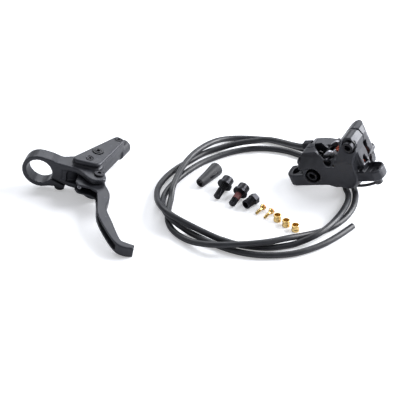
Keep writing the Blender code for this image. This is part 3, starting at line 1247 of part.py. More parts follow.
def brake_hose(caliper_frame):
    """The hose, from inside its nut, down to the surface and round the coil to its bare end."""
    bpy.context.view_layer.update()
    inside = caliper_frame.matrix_world @ Vector((PORT_FACE_X - NUT_HEX_LENGTH + HOSE_IN_NUT, PORT_Y, PORT_Z))
    outside = caliper_frame.matrix_world @ Vector((PORT_FACE_X - NUT_HEX_LENGTH - NUT_EXIT, PORT_Y, PORT_Z))
    route = [Vector(point) - LAYOUT_CENTRE for point in HOSE_ROUTE]
    path = evenly(smooth_line([inside, outside] + route, ROUTE_SAMPLES), HOSE_POINTS)
    for point in path:
        point.z = max(point.z, HOSE_DIA / 2)
    hose = swept("brake_hose", path, HOSE_DIA / 2)
    hose.data.materials.append(principled("brake_hose", RUBBER))
    return hose


# Fitting kit


def lying(name, maker, low_end, high_end):
    """Lays a piece drawn up the z axis on the surface, from one end's place to the other's."""
    item = maker(name)
    start = Vector((*low_end, 0.0))
    direction = Vector((*high_end, 0.0)) - start
    heading = math.atan2(direction.y, direction.x)
    item.data.transform(Matrix.Rotation(heading, 4, "Z") @ Matrix.Rotation(math.pi / 2, 4, "Y"))
    item.location = start - LAYOUT_CENTRE
    return item


def tilt_and_drop(items, low_end, high_end, slope):
    """Raises the far end of pieces that lie together by a slope, then sets them on the surface."""
    direction = (Vector((*high_end, 0.0)) - Vector((*low_end, 0.0))).normalized()
    turn = Matrix.Rotation(slope, 4, direction.cross(Vector((0, 0, 1))))
    lowest = 0.0
    for item in items:
        item.data.transform(turn)
        lowest = min(lowest, min(vert.co.z for vert in item.data.vertices))
    for item in items:
        item.location.z = -lowest
    return items


def boot_shape(name):
    length = (BOOT_BIG_END - BOOT_SMALL_END).length
    small = BOOT_SMALL_DIA / 2
    big = BOOT_BIG_DIA / 2
    edge = CAST_EDGE
    skirt = BOOT_SKIRT_DIA / 2
    bore = BOOT_BORE_DIA / 2
    profile = [(bore, 0.0), (small - edge, 0.0), (small, edge), (big, length - 3 * edge), (big - edge, length),
               (skirt, length), (skirt, length - BOOT_SKIRT_DEPTH), (bore, length - BOOT_SKIRT_DEPTH - edge)]
    boot = turned(name, profile, ROUND_SIDES, closed=True)
    slot = extruded("slot", stadium((0.0, 0.0), BOOT_SLOT_WIDTH, BOOT_SLOT_LENGTH), -BOOT_BIG_DIA, 0.0, "YZ")
    slot.data.transform(Matrix.Translation(Vector((0.0, 0.0, length * BOOT_SLOT_SHARE)))
                        @ Matrix.Rotation(BOOT_SLOT_TURN, 4, "Z"))
    return cut(boot, slot)


def kit_bolt_shape(name):
    edge = TURNED_EDGE
    head = KIT_HEAD_DIA / 2
    shank = KIT_BOLT_DIA / 2
    top = KIT_BOLT_LENGTH + KIT_HEAD_HEIGHT
    profile = [(shank - edge, 0.0), (shank, edge), (shank, KIT_BOLT_LENGTH), (head, KIT_BOLT_LENGTH), (head, top - edge),
               (head - edge, top)]
    bolt = turned(name, profile)
    return cut(bolt, hex_bar("key", (0, 0, top - KIT_SOCKET_DEPTH), (0, 0, top + MM), SOCKET_AF))


def kit_washer_shape(name):
    inner = KIT_BOLT_DIA / 2 + GAP
    top = KIT_BOLT_LENGTH - GAP
    low = top - WASHER_THICK
    return turned(name, [(inner, low), (WASHER_DIA / 2, low), (WASHER_DIA / 2, top), (inner, top)], ROUND_SIDES, True)


def kit_nut_shape(name):
    length = (KIT_NUT_HEAD - KIT_NUT_END).length
    nut = hex_bar(name, (0, 0, KIT_NUT_SHANK_LENGTH), (0, 0, length), NUT_AF)
    fuse(nut, rod("shank", (0, 0, 0), (0, 0, KIT_NUT_SHANK_LENGTH + MM), KIT_NUT_SHANK_DIA / 2,
                  bevel=TURNED_EDGE))
    return cut(nut, rod("bore", (0, 0, -MM), (0, 0, length + MM), HOSE_DIA / 2 + GAP, SMALL_SIDES))


def barb_shape(name):
    head = BARB_HEAD_DIA / 2
    stem = BARB_STEM_DIA / 2
    tip = BARB_TIP_DIA / 2
    length = (Vector(BARB_HEADS[0]) - Vector(BARB_TIPS[0])).length
    neck = length - BARB_HEAD_LENGTH
    hole = BARB_HOLE_DIA / 2
    third = neck / 3
    profile = [(hole, 0.0), (stem * 0.8, 0.0), (tip, third), (stem, third), (tip, 2 * third), (stem, 2 * third),
               (stem, neck), (head * 0.8, neck), (head, neck + BARB_HEAD_LENGTH * 0.6), (head, length), (hole, length)]
    return turned(name, profile, SMALL_SIDES, closed=True)


def olive_shape(name, place):
    outer = OLIVE_DIA / 2
    bore = OLIVE_BORE_DIA / 2
    edge = OLIVE_EDGE
    half = OLIVE_HEIGHT / 2
    waist = outer - OLIVE_WAIST
    profile = [(bore, 0.0), (outer - edge, 0.0), (outer, edge), (outer, half - 2 * edge), (waist, half - edge),
               (waist, half + edge), (outer, half + 2 * edge), (outer, OLIVE_HEIGHT - edge), (outer - edge, OLIVE_HEIGHT),
               (bore, OLIVE_HEIGHT)]
    olive = turned(name, profile, closed=True)
    olive.location = Vector((*place, 0.0)) - LAYOUT_CENTRE
    return olive


def build_kit():
    boot = lying("kit_hose_boot", boot_shape, BOOT_SMALL_END, BOOT_BIG_END)
    boot_slope = math.atan((BOOT_BIG_DIA - BOOT_SMALL_DIA) / 2 / (BOOT_BIG_END - BOOT_SMALL_END).length)
    tilt_and_drop([boot], BOOT_SMALL_END, BOOT_BIG_END, boot_slope)
    finish(boot, RUBBER)
    bolt_slope = math.asin((WASHER_DIA - KIT_BOLT_DIA) / 2 / (KIT_BOLT_LENGTH - WASHER_THICK - GAP))
    for letter, tip, head in zip("ab", KIT_BOLT_TIPS, KIT_BOLT_HEADS):
        bolt = lying("kit_mount_bolt_" + letter, kit_bolt_shape, tip, head)
        washer = lying("kit_washer_" + letter, kit_washer_shape, tip, head)
        tilt_and_drop([bolt, washer], tip, head, bolt_slope)
        finish(bolt, BLACK_STEEL)
        finish(washer, BLACK_STEEL)
    nut = lying("kit_hose_nut", kit_nut_shape, KIT_NUT_END, KIT_NUT_HEAD)
    finish(tilt_and_drop([nut], KIT_NUT_END, KIT_NUT_HEAD, 0.0)[0], BLACK_STEEL)
    barb_length = (Vector(BARB_HEADS[0]) - Vector(BARB_TIPS[0])).length
    barb_slope = math.asin((BARB_HEAD_DIA - BARB_STEM_DIA) / 2 / barb_length)
    for letter, tip, head in zip("ab", BARB_TIPS, BARB_HEADS):
        barb = lying("kit_barb_" + letter, barb_shape, tip, head)
        finish(tilt_and_drop([barb], tip, head, barb_slope)[0], BRASS)
    for letter, place in zip("abc", OLIVE_PLACES):
        finish(olive_shape("kit_olive_" + letter, place), BRASS)


def main():
    clear_scene()
    build_lever()
    caliper_frame = build_caliper()
    brake_hose(caliper_frame)
    build_kit()


main()
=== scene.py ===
"""Looks of a bicycle's hydraulic disc brake, laid out on a white surface: finishes, threads, hose, light."""

import json
import math

import bmesh
import bpy
from mathutils import Euler, Matrix, Vector


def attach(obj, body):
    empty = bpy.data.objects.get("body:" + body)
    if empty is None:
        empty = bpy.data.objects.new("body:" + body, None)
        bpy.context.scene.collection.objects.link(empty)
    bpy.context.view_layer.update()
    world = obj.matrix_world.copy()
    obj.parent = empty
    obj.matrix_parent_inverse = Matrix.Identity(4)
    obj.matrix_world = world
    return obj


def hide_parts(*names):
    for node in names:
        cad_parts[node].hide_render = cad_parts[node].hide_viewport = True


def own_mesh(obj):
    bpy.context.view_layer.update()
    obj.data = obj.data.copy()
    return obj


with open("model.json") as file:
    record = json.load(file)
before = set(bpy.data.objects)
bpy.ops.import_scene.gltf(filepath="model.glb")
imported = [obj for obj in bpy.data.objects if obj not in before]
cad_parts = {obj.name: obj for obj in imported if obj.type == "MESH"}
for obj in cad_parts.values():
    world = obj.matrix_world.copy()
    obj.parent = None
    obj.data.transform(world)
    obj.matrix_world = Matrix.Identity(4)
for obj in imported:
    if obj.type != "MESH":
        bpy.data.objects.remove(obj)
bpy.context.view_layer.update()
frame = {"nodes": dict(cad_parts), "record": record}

MM = 0.001

# The photograph's view, from above and in front. The layout's middle is measured from the point on the
# surface that the camera looks at
LAYOUT_CENTRE = Vector((1.91, -4.93, 0.0)) * MM
VIEW_ELEVATION = math.radians(36.0)
VIEW_DISTANCE = 1100.0 * MM
PIXELS_PER_MM = 1.22
SENSOR = 36.0
PICTURE = 400
CLIP_START = 10.0 * MM

# The white surface, which the camera sees with a glow, and the world's light
FLOOR_HALF = 6.0
FLOOR_COLOUR = (0.82, 0.83, 0.86, 1.0)
FLOOR_ROUGHNESS = 0.5
FLOOR_SPECULAR = 0.2
FLOOR_GLOW = 0.34
WORLD_COLOUR = (0.93, 0.95, 1.0, 1.0)
WORLD_STRENGTH = 0.30

# Lamps: place, target and size in metres, power in watts, and colour
LAMPS = {
    "key_lamp": ((1.15, 0.35, 0.75), (0, 0, 0), (0.7, 0.9), 30.0, (0.97, 0.98, 1.0)),
    "side_lamp": ((1.3, 0.15, 0.28), (0.08, 0, 0.03), (0.8, 0.5), 11.0, (0.97, 0.97, 1.0)),
    "back_lamp": ((-0.2, 0.9, 0.9), (0, 0, 0), (1.4, 0.6), 11.0, (0.95, 0.97, 1.0)),
    "left_lamp": ((-1.0, -0.3, 0.7), (0, 0, 0), (0.6, 0.8), 1.2, (1.0, 1.0, 1.0)),
}

# Noise in the finishes: the size of cloudy patches, and the values of each noise over which a change spreads
CLOUD_SIZE = 6.0 * MM
CLOUD_DETAIL = 3.0
CLOUD_RANGE = (0.3, 0.7)
GRAIN_DETAIL = 4.0
GRAIN_RANGE = (0.35, 0.7)
# EDGE_RANGE is the pointiness over which the painted highlight on edges spreads
EDGE_RANGE = (0.51, 0.60)

# How many times brighter than the colour the grain and the painted highlight on edges are, and how far the
# roughness varies
GRAIN_BRIGHTER = 1.6
HIGHLIGHT_BRIGHTER = 3.2
ROUGHNESS_SPREAD = (-0.05, 0.06)
BUMP_STRENGTH = 0.35

# Meshes: the grain of castings and of small pieces, smoothing, and the angle above which an edge stays sharp
CAST_VOXEL = 0.52 * MM
CAST_SMOOTHING = 3
SMOOTHING_FACTOR = 0.5
FINE_VOXEL = 0.34 * MM
SHARP_ANGLE = math.radians(35)
JOIN_DISTANCE = 1e-7
CIRCLE_POINTS = 24

# The frames of the lever and the caliper
LEVER_AXES = Euler((math.radians(-0.6), math.radians(11.0), math.radians(-10.8)), "YXZ").to_matrix()
LEVER_FRAME = Matrix.Translation(Vector((-132.71, 23.83, 19.26)) * MM) @ LEVER_AXES.to_4x4()
CALIPER_AXES = Euler((math.radians(9.3), math.radians(-22.5), math.radians(-33.7)), "XYZ").to_matrix()
CALIPER_FRAME = Matrix.Translation(Vector((78.39, 28.83, 13.2)) * MM) @ CALIPER_AXES.to_4x4()
LEVER_UP = LEVER_AXES @ Vector((0, 0, 1))
ROTOR_AXIS = CALIPER_AXES @ Vector((0, 1, 0))

# The caliper's features are in its own frame, in millimetres: x from ear to ear, y along the rotor's axis,
# z up. A place or an outline is in x and z, and a height over it in y, unless a comment says otherwise
ROTOR_PLANE = 11.3
PISTON_PLACE = (48.0, -1.5)
PISTON_BORE_RADIUS = 11.0
PISTON_BORE_FLOOR = -5.7
PISTON_BORE_MOUTH = 6.0
RADIAL_TURN = math.radians(30.4)

# How far cutting bodies reach past the faces they cut, over a joint between bodies, and out of the caliper
OVERCUT = 2.0
OVERLAP = 1.0
CUT_REACH = 40.0

# Bolt seats, and the recess in front of the pad axle's head
UPPER_BOLT = (63.0, 24.5)
LOWER_BOLT = (18.0, -1.9)
BOLT_SEAT_RADIUS = 5.8
LOWER_BOLT_SEAT = -0.9
UPPER_BOLT_SEAT = -0.4
AXLE = (34.5, 8.9)
AXLE_RECESS = (41.0, 11.6)
AXLE_RECESS_RADIUS = 3.7
AXLE_RECESS_FLOOR = -1.2
LOWER_RECESS = (20.6, -0.3)
LOWER_RECESS_RADIUS = 6.3
LOWER_RECESS_FLOOR = -3.6

# The near half's flush front wall
FRONT_WALL = -7.5
FRONT_OUTLINE = ((12, -9.5), (26.5, -9.8), (31.5, -11.0), (38, -13.4), (44, -12.6), (52, -8), (58.4, -2),
                 (61.4, 2.4), (62, 9.2), (56.3, 12.8), (51.8, 12.7), (42.1, 7.6), (33.8, 7.0), (20, 6.6),
                 (11, 6.4))

# The ramp from the front wall back to the rotor's window, as a side view in y and z between two places in x
RAMP_SIDE = ((-6.9, 6.4), (3.3, 12.2), (3.3, 5.0), (-6.9, 5.0))
RAMP_LEFT = 7.5
RAMP_RIGHT = 44.5
RAMP_CLEARING = 30.0

# The neck that joins the front wall to the upper bolt
NECK_RADIUS = 7.0
NECK_NEAR = -2.5
NECK_FAR = 0.0
NECK_FOOT = ((43, 8), (51.8, 12.7), (56.3, 12.8), (62, 9.2))
NECK_FOOT_INSET = 0.3

# The recess in the right ear's upper face, in x and y
EAR_RECESS = ((66, -3.2), (68.2, -4.8), (77.2, -4.8), (79.2, -3), (79.4, 5.4), (77.4, 7.4), (68.4, 7.6),
              (66.2, 5.8))
EAR_RECESS_DEPTH = 2.6

# What is trimmed off the right side, and off the back: its corner in x and y, and its top
RIGHT_TRIM = ((67, 3.5), (90, 3.5), (90, 50), (50, 50), (61, 33.6), (66.5, 31), (69.2, 25), (67, 17))
LOW_TRIM = ((67, 6.5), (90, 6.5), (90, -13), (58, -13), (58, -5))
BACK_CORNER = ((68, 17), (80, 15.5), (80, 40), (55, 40), (58, 25.5), (65, 22.5))
BACK_CORNER_FROM = 3.0
BACK_CORNER_TO = 60.0
BACK_TOP = ((2, 8.5), (9.9, 12.4), (14.9, 14.6), (32, 8.9), (33.5, 9.5), (33.5, 40), (2, 40))
BACK_TOP_FROM = 17.0

# The open pocket in the top of both halves, in x and y
TOP_POCKET = ((15.5, 15.8), (20.1, 9.1), (30.6, 0.8), (35.6, -0.3), (41, 1.5), (36, 12), (33.5, 16.2))
POCKET_FLOOR = -3.0

# Corners of the bodies that fill out the right sides of the two halves, in x, y and z
SIDE_SKIN = ((61.2, -7, 2.2), (62, -7, 9.2), (64.4, -2, 17.5), (66.4, 4, 4), (67, 4, 20), (67, 11.2, 4),
             (67, 11.2, 21.5), (59, 11.2, 4), (59, -2, 10))
FAR_SKIN = ((67, 11.5, 20), (67, 11.5, 5), (66.6, 20.5, 18), (66.2, 20.8, 6.5), (59.5, 19.5, -4.5),
            (60, 12, -3.5), (57, 20, 2), (57, 12, 14))

# The slots in the right side, in y and z
HIGH_SLOT = ((15.2, 18.2), (9.9, 17.7), (10.9, 10.4), (9.4, 1.5), (16.2, 4.8), (13.4, 12.1))
LOW_SLOT = ((5.6, 10.6), (7.2, 2.4), (2.2, 3.6), (2.3, 8.6))
SLOTS_FROM = 57.0

# Boxes that lie across and up the line through the pistons: left, right, low and high of each. The pocket
# has its near and far faces too
SIDE_POCKET = (5.0, 15.6, -8.0, 5.0, 5.4, 17.0)
TOP_LUG_PLATE = (-2.5, 4.0, 11.0, 18.0)
TOP_LUG_LINING = (-5.0, 4.0, 9.0, 16.5)
SIDE_LUG = (11.0, 15.0, -4.0, 3.5)
SPRING_CUT = (-5.5, 12.0, 5.0, 25.0)

# Pads: how far the faces of plates and linings are from the rotor's plane, and what is trimmed off them
PLATE_FROM = 5.8
PLATE_TO = 7.6
LINING_FROM = 2.2
LINING_TO = 5.5
PAD_TRIM = ((64.5, 6.5), (90, 6.5), (90, -13), (57, -13), (57, -5))

# Corners of the flat wall between the lever's reservoir and barrel, in the lever's frame, in millimetres
SIDE_WALL = ((47.0, 0.5, 14.5), (58.4, 43.8, 14.5), (40, 2, 14.5), (51.5, 46, 14.5), (49.2, 4.2, 1.5),
             (59.2, 45.8, 1.5), (42, 6, 1.5), (52, 47, 1.5))

# The open pocket under the arm, in x and y of the lever's frame, in millimetres
ARM_POCKET = ((18.7, -5.5), (22, -5.4), (32.8, -7.6), (37.8, -20.5), (33.3, -24), (22.3, -17.5))
ARM_POCKET_FROM = -2.0
ARM_POCKET_TO = 8.0

# Turned pieces. A ring carries a thread where it is nearly as wide as the thread, and a ring of almost no
# radius is a single point
FINE_SIDES = 64
LIP_SIDES = 24
ARC_STEPS = 5
THREAD_RINGS = 6
THREAD_SHARE = 0.98
POINT_RADIUS = 1e-9
SOCKET_LIP = 0.35 * MM

# Socket bolts: head radius and height, shank radius, socket width and depth, thread pitch, edge radius
COVER_SCREW = {"head": 2.7 * MM, "height": 1.0 * MM, "shank": 1.3 * MM, "socket": 2.4 * MM,
               "socket_depth": 0.8 * MM, "pitch": 0.5 * MM, "edge": 0.25 * MM}
BLEED_SCREW = {"head": 2.8 * MM, "height": 1.6 * MM, "shank": 2.0 * MM, "socket": 2.6 * MM,
               "socket_depth": 1.2 * MM, "pitch": 0.7 * MM, "edge": 0.3 * MM}
PIVOT_PIN = {"head": 4.0 * MM, "height": 1.2 * MM, "shank": 2.5 * MM, "socket": 3.0 * MM,
             "socket_depth": 1.0 * MM, "pitch": 0.2 * MM, "edge": 0.4 * MM}
CLAMP_BOLT = {"head": 4.2 * MM, "height": 3.6 * MM, "shank": 2.5 * MM, "socket": 4.0 * MM,
              "socket_depth": 2.0 * MM, "pitch": 0.8 * MM, "edge": 0.5 * MM}
BODY_BOLT = {"head": 4.6 * MM, "height": 5.5 * MM, "shank": 3.0 * MM, "socket": 5.0 * MM,
             "socket_depth": 2.8 * MM, "pitch": 1.0 * MM, "edge": 0.5 * MM}
KIT_BOLT = {"head": 5.0 * MM, "height": 6.0 * MM, "shank": 3.0 * MM, "socket": 5.0 * MM,
            "socket_depth": 3.0 * MM, "pitch": 1.0 * MM, "edge": 0.5 * MM}

KIT_KNURL = {"low": 0.9 * MM, "high": 5.2 * MM, "depth": 0.22 * MM}
WIDE_SHARE = 0.9

# The patch of thread lock on one kit bolt
PATCHED_BOLT = "kit_mount_bolt_b"
PATCH_BORE_RADIUS = 2.6 * MM
PATCH_RADIUS = 3.04 * MM
PATCH_FROM = 9.5 * MM
PATCH_TO = 15.5 * MM

# The loose hose nut, which lies level
NUT_HEADING = (8.5, 9.6)
NUT_SHANK_RADIUS = 3.9 * MM
NUT_SHANK_LENGTH = 8.6 * MM
NUT_CHAMFER = 0.5 * MM
NUT_THREAD_FROM = 0.4 * MM
NUT_THREAD_DEPTH = 0.4 * MM
NUT_PITCH = 1.0 * MM
NUT_FLATS = 8.0 * MM
NUT_OVERLAP = 0.1 * MM
NUT_BORE_RADIUS = 2.6 * MM
NUT_BORE_LENGTH = 50.0 * MM

# The barbed inserts: a stem with barbs, a stepped head with a hole, and a copper rim round the head's end
BARB_HEADING = (6.5, 8.0)
BARB_SLOPE = math.asin(0.126)
BARB_HOLE_RADIUS = 0.6 * MM
BARB_STEM_RADIUS = 1.2 * MM
BARB_TIP_CHAMFER = 0.25 * MM
BARB_COUNT = 4
BARB_PITCH = 1.2 * MM
BARB_FIRST = 0.15 * MM
BARB_DROP = 0.2 * MM
BARB_RISE = 0.15 * MM
BARB_SLANT = 0.8
BARB_NECK_GAP = 0.3 * MM
BARB_HEAD_RADIUS = 2.5 * MM
BARB_HEAD_LENGTH = 2.4 * MM
BARB_SHOULDER = 0.8
BARB_SHOULDER_LENGTH = 1.4 * MM
BARB_EDGE = 0.2 * MM
RIM_WIDTH = 0.7 * MM
RIM_INSIDE = 0.55
RIM_DEPTH = 0.1 * MM
RIM_CHAMFER = 0.15 * MM
RIM_PROUD = 0.04 * MM

# The olives, with a groove round their middle
OLIVE_RADIUS = 3.1 * MM
OLIVE_BORE_RADIUS = 2.6 * MM
OLIVE_EDGE = 0.3 * MM
OLIVE_GROOVE = 0.2 * MM

# The hose, with its thickness in metres, the points for each stretch of its path, and how round it is drawn
HOSE_DIA = 5.0 * MM
HOSE_SAMPLES = 5
HOSE_BEVEL = 6

# The hose's path from inside its nut, on the surface and over itself, in millimetres from the point that the
# camera looks at
HOSE_ROUTE = (
    (92.32, 41.61, 25.84), (82.71, 48.02, 21.06), (60.6, 67.4, 14.5), (46.1, 74.7, 8.5),
    (32.7, 74.5, 6.3), (18.9, 71.5, 4.0), (4.3, 65.2, 2.5), (-8.5, 53.0, 2.5), (-20.2, 41.0, 2.5),
    (-29.4, 27.2, 2.5), (-34.7, 11.9, 3.2), (-34.9, -6.9, 7.0), (-31.9, -22.8, 11.6),
    (-26.6, -34.0, 13.5), (-19.7, -41.0, 13.0), (-12.6, -44.9, 11.0), (-4.3, -48.2, 8.2),
    (5.1, -51.6, 5.0), (15.7, -55.8, 2.5), (27.3, -61.7, 2.5), (41.3, -65.5, 2.5), (55.3, -66.5, 2.5),
    (70.2, -63.4, 2.5), (79.7, -60.8, 4.2), (89.1, -58.0, 7.2), (97.8, -51.1, 8.2), (106.1, -40.0, 8.0),
    (113.9, -24.6, 6.2), (119.9, -7.7, 3.6), (121.7, 4.2, 2.5), (120.5, 12.0, 2.5), (119.0, 25.0, 4.5),
    (115.0, 38.0, 7.5), (107.0, 50.0, 8.0), (98.0, 61.0, 6.0), (88.0, 70.5, 3.2), (75.9, 78.5, 2.5),
    (61.4, 85.1, 2.5), (50.3, 87.0, 2.5), (39.2, 88.1, 2.5), (27.9, 87.1, 3.0), (15.6, 80.7, 5.2),
    (4.3, 68.3, 7.8), (-5.9, 54.6, 8.2), (-13.4, 39.0, 8.2), (-19.1, 21.4, 8.2), (-22.5, 7.4, 6.8),
    (-23.8, -3.3, 3.4), (-25.4, -15.8, 2.5), (-25.8, -30.0, 2.5), (-22.9, -41.3, 2.5),
    (-16.9, -50.6, 2.5), (-7.8, -59.4, 3.5), (2.3, -66.2, 6.0), (13.2, -70.3, 8.2), (25.5, -70.1, 8.3),
    (40.3, -68.9, 8.3), (55.1, -66.0, 8.2), (68.6, -60.9, 7.6), (78.4, -55.2, 5.2), (88.4, -49.0, 2.8),
    (97.8, -44.7, 2.5), (107.4, -37.8, 2.5), (117.2, -26.7, 2.5), (124.2, -13.1, 2.5), (127.3, 0.7, 2.5),
    (127.5, 12.0, 2.5), (125.0, 27.0, 2.5), (117.0, 42.0, 2.5), (104.0, 53.0, 2.5), (87.2, 60.9, 2.5),
    (74.8, 67.9, 2.5), (59.5, 71.9, 2.5), (43.9, 71.6, 2.5), (28.3, 67.0, 2.5), (13.7, 59.0, 2.5),
    (0.8, 49.4, 2.5), (-10.9, 36.6, 2.5), (-20.0, 23.5, 2.5), (-26.4, 11.3, 2.5), (-29.8, 0.0, 2.5),
    (-30.3, -13.2, 5.0), (-27.8, -26.7, 7.9), (-22.7, -36.3, 7.9), (-15.7, -42.7, 5.6),
    (-6.3, -48.7, 2.6), (5.5, -58.1, 2.5), (17.9, -66.2, 2.5), (31.0, -72.3, 2.5), (44.8, -75.6, 2.5),
    (58.7, -76.0, 2.5), (72.0, -74.0, 2.5), (84.7, -69.0, 2.5), (96.9, -61.7, 2.5), (109.1, -51.4, 2.5),
    (121.5, -38.6, 2.5))


def node(name):
    return frame["nodes"][name]


def body_of_node(name):
    bodies = frame["record"]["behaviour"]["bodies"]
    return next(body for body, nodes in bodies.items() if name in nodes)


def placed(name, data):
    """A new object in the scene."""
    item = bpy.data.objects.new(name, data)
    bpy.context.scene.collection.objects.link(item)
    return item


def finished(shape, name):
    """The mesh of a shape that is done."""
    mesh = bpy.data.meshes.new(name)
    shape.to_mesh(mesh)
    shape.free()
    return mesh


def evaluated_mesh(item):
    """The item's mesh with its modifiers worked in."""
    bpy.context.view_layer.update()
    return bpy.data.meshes.new_from_object(item.evaluated_get(bpy.context.evaluated_depsgraph_get()))


# Materials


class Graph:
    """A material's nodes, added one at a time."""

    def __init__(self, name):
        self.material = bpy.data.materials.new(name)
        self.material.use_nodes = True
        self.nodes = self.material.node_tree.nodes
        self.links = self.material.node_tree.links
        self.shader = self.nodes["Principled BSDF"]
        self.place = self.nodes.new("ShaderNodeTexCoord").outputs["Object"]

    def add(self, kind, **inputs):
        made = self.nodes.new(kind)
        for key, value in inputs.items():
            self.put(made.inputs[key.replace("_", " ")], value)
        return made

    def put(self, socket, value):
        if isinstance(value, bpy.types.NodeSocket):
            self.links.new(value, socket)
        else:
            socket.default_value = value

    def noise(self, size, detail):
        """Noise whose features are about this size."""
        made = self.add("ShaderNodeTexNoise", Scale=1.0 / size, Detail=detail)
        self.links.new(self.place, made.inputs["Vector"])
        return made.outputs["Fac"]

    def ranged(self, value, low, high, to_low, to_high):
        """The value, taken from one range to another."""
        made = self.add("ShaderNodeMapRange")
        settings = {"Value": value, "From Min": low, "From Max": high, "To Min": to_low, "To Max": to_high}
        for socket, number in settings.items():
            self.put(made.inputs[socket], number)
        return made.outputs["Result"]

    def mixed(self, factor, first, second):
        """Two colours, mixed by a factor."""
        made = self.nodes.new("ShaderNodeMix")
        made.data_type = "RGBA"
        self.put(made.inputs["Factor"], factor)
        colours = [socket for socket in made.inputs if socket.type == "RGBA"]
        for socket, value in zip(colours, (first, second)):
            self.put(socket, value)
        return next(socket for socket in made.outputs if socket.type == "RGBA")

    def bump(self, height, depth):
        made = self.add("ShaderNodeBump", Height=height, Distance=depth, Strength=BUMP_STRENGTH)
        self.links.new(made.outputs["Normal"], self.shader.inputs["Normal"])


def shade(colour, factor):
    return (*(min(1.0, value * factor) for value in colour), 1.0)


def surface(name, colour, roughness, metallic=0.0, mottle=0.18, grain=0.35 * MM, depth=0.02 * MM, edge_highlight=0.0):
    """A finish with fine grain, cloudy variation and, where wanted, a painted highlight on its edges."""
    graph = Graph(name)
    cloud = graph.noise(CLOUD_SIZE, CLOUD_DETAIL)
    patches = graph.ranged(cloud, *CLOUD_RANGE, 0.0, 1.0)
    base = graph.mixed(patches, shade(colour, 1 - mottle), shade(colour, 1 + mottle))
    fine = graph.noise(grain, GRAIN_DETAIL)
    specks = graph.ranged(fine, *GRAIN_RANGE, 0.0, mottle)
    base = graph.mixed(specks, base, shade(colour, GRAIN_BRIGHTER))
    # Painted highlight: edges that stick out are coloured lighter, standing in for the light they catch
    if edge_highlight > 0:
        edge = graph.nodes.new("ShaderNodeNewGeometry").outputs["Pointiness"]
        base = graph.mixed(graph.ranged(edge, *EDGE_RANGE, 0.0, edge_highlight), base, shade(colour, HIGHLIGHT_BRIGHTER))
    graph.put(graph.shader.inputs["Base Color"], base)
    limits = [roughness + change for change in ROUGHNESS_SPREAD]
    graph.put(graph.shader.inputs["Roughness"], graph.ranged(cloud, *CLOUD_RANGE, *limits))
    graph.shader.inputs["Metallic"].default_value = metallic
    graph.bump(fine, depth)
    return graph.material


def finishes():
    return {
        # The painted casting and the black steel carry a painted highlight on their edges
        "painted": surface("painted", (0.026, 0.027, 0.033), roughness=0.36, metallic=0.35, edge_highlight=0.5),
        "black_steel": surface("black_steel", (0.016, 0.016, 0.019), roughness=0.34, metallic=0.7, edge_highlight=0.5),
        "rubber": surface("rubber", (0.018, 0.019, 0.023), roughness=0.42),
        "steel": surface("steel", (0.46, 0.46, 0.49), roughness=0.34, metallic=1.0, mottle=0.08),
        "dark_steel": surface("dark_steel", (0.020, 0.020, 0.023), roughness=0.45, metallic=0.8, mottle=0.1),
        "alloy": surface("alloy", (0.60, 0.61, 0.63), roughness=0.32, metallic=1.0, mottle=0.08),
        "brass": surface("brass", (0.86, 0.60, 0.24), roughness=0.20, metallic=1.0, mottle=0.06),
        "lining": surface("lining", (0.42, 0.09, 0.05), roughness=0.75, metallic=0.3, mottle=0.4,
                          grain=0.5 * MM, depth=0.08 * MM),
        "copper": surface("copper", (0.72, 0.22, 0.08), roughness=0.25, metallic=1.0, mottle=0.08),
        "thread_lock": surface("thread_lock", (0.10, 0.022, 0.022), roughness=0.6, mottle=0.4,
                               grain=0.5 * MM, depth=0.1 * MM),
        "phenolic": surface("phenolic", (0.10, 0.085, 0.07), roughness=0.5),
    }


def dress(item, material):
    item.data.materials.clear()
    item.data.materials.append(material)


def dress_nodes(looks):
    for part in frame["record"]["subparts"]:
        dress(node(part["node"]), looks[part["material_slot"]])


# Bodies


def slab(outline, low, high, plane="XZ"):
    """A block of this outline between two heights, in millimetres of its frame."""
    shape = bmesh.new()
    ends = []
    for height in (low, high):
        ring = []
        for a, b in outline:
            place = {"XZ": (a, height, b), "XY": (a, b, height), "YZ": (height, a, b)}[plane]
            ring.append(shape.verts.new(Vector(place) * MM))
        ends.append(ring)
    count = len(outline)
    shape.faces.new(ends[0])
    shape.faces.new(ends[1])
    for index in range(count):
        after = (index + 1) % count
        shape.faces.new((ends[0][index], ends[0][after], ends[1][after], ends[1][index]))
    bmesh.ops.recalc_face_normals(shape, faces=shape.faces[:])
    return finished(shape, "slab")


def hull(points):
    """The smallest convex body round points, in millimetres of its frame."""
    shape = bmesh.new()
    for point in points:
        shape.verts.new(Vector(point) * MM)
    result = bmesh.ops.convex_hull(shape, input=shape.verts[:])
    unused = result["geom_interior"] + result["geom_unused"]
    loose = [item for item in unused if isinstance(item, bmesh.types.BMVert)]
    bmesh.ops.delete(shape, geom=list(set(loose)), context="VERTS")
    bmesh.ops.recalc_face_normals(shape, faces=shape.faces[:])
    return finished(shape, "hull")


def disc_points(centre, radius, height):
    """Points on a circle round the rotor's direction, in the caliper's frame."""
    angles = (2 * math.pi * index / CIRCLE_POINTS for index in range(CIRCLE_POINTS))
    return [(centre[0] + radius * math.cos(a), height, centre[1] + radius * math.sin(a)) for a in angles]


def plug(centre, radius, low, high):
    """A round bar along the rotor's direction, in the caliper's frame."""
    return hull(disc_points(centre, radius, low) + disc_points(centre, radius, high))


def radial(across, up):
    """A place given across and up the line from the rotor's centre through the pistons."""
    cosine = math.cos(RADIAL_TURN)
    sine = math.sin(RADIAL_TURN)
    return (PISTON_PLACE[0] + across * cosine - up * sine, PISTON_PLACE[1] + across * sine + up * cosine)


def radial_box(left, right, low, high, near, far):
    return slab([radial(left, low), radial(right, low), radial(right, high), radial(left, high)], near, far)


def together(meshes):
    """One mesh of several closed ones, each with its corners joined."""
    shape = bmesh.new()
    for mesh in meshes:
        shape.from_mesh(mesh)
    bmesh.ops.remove_doubles(shape, verts=shape.verts[:], dist=JOIN_DISTANCE)
    return finished(shape, "together")


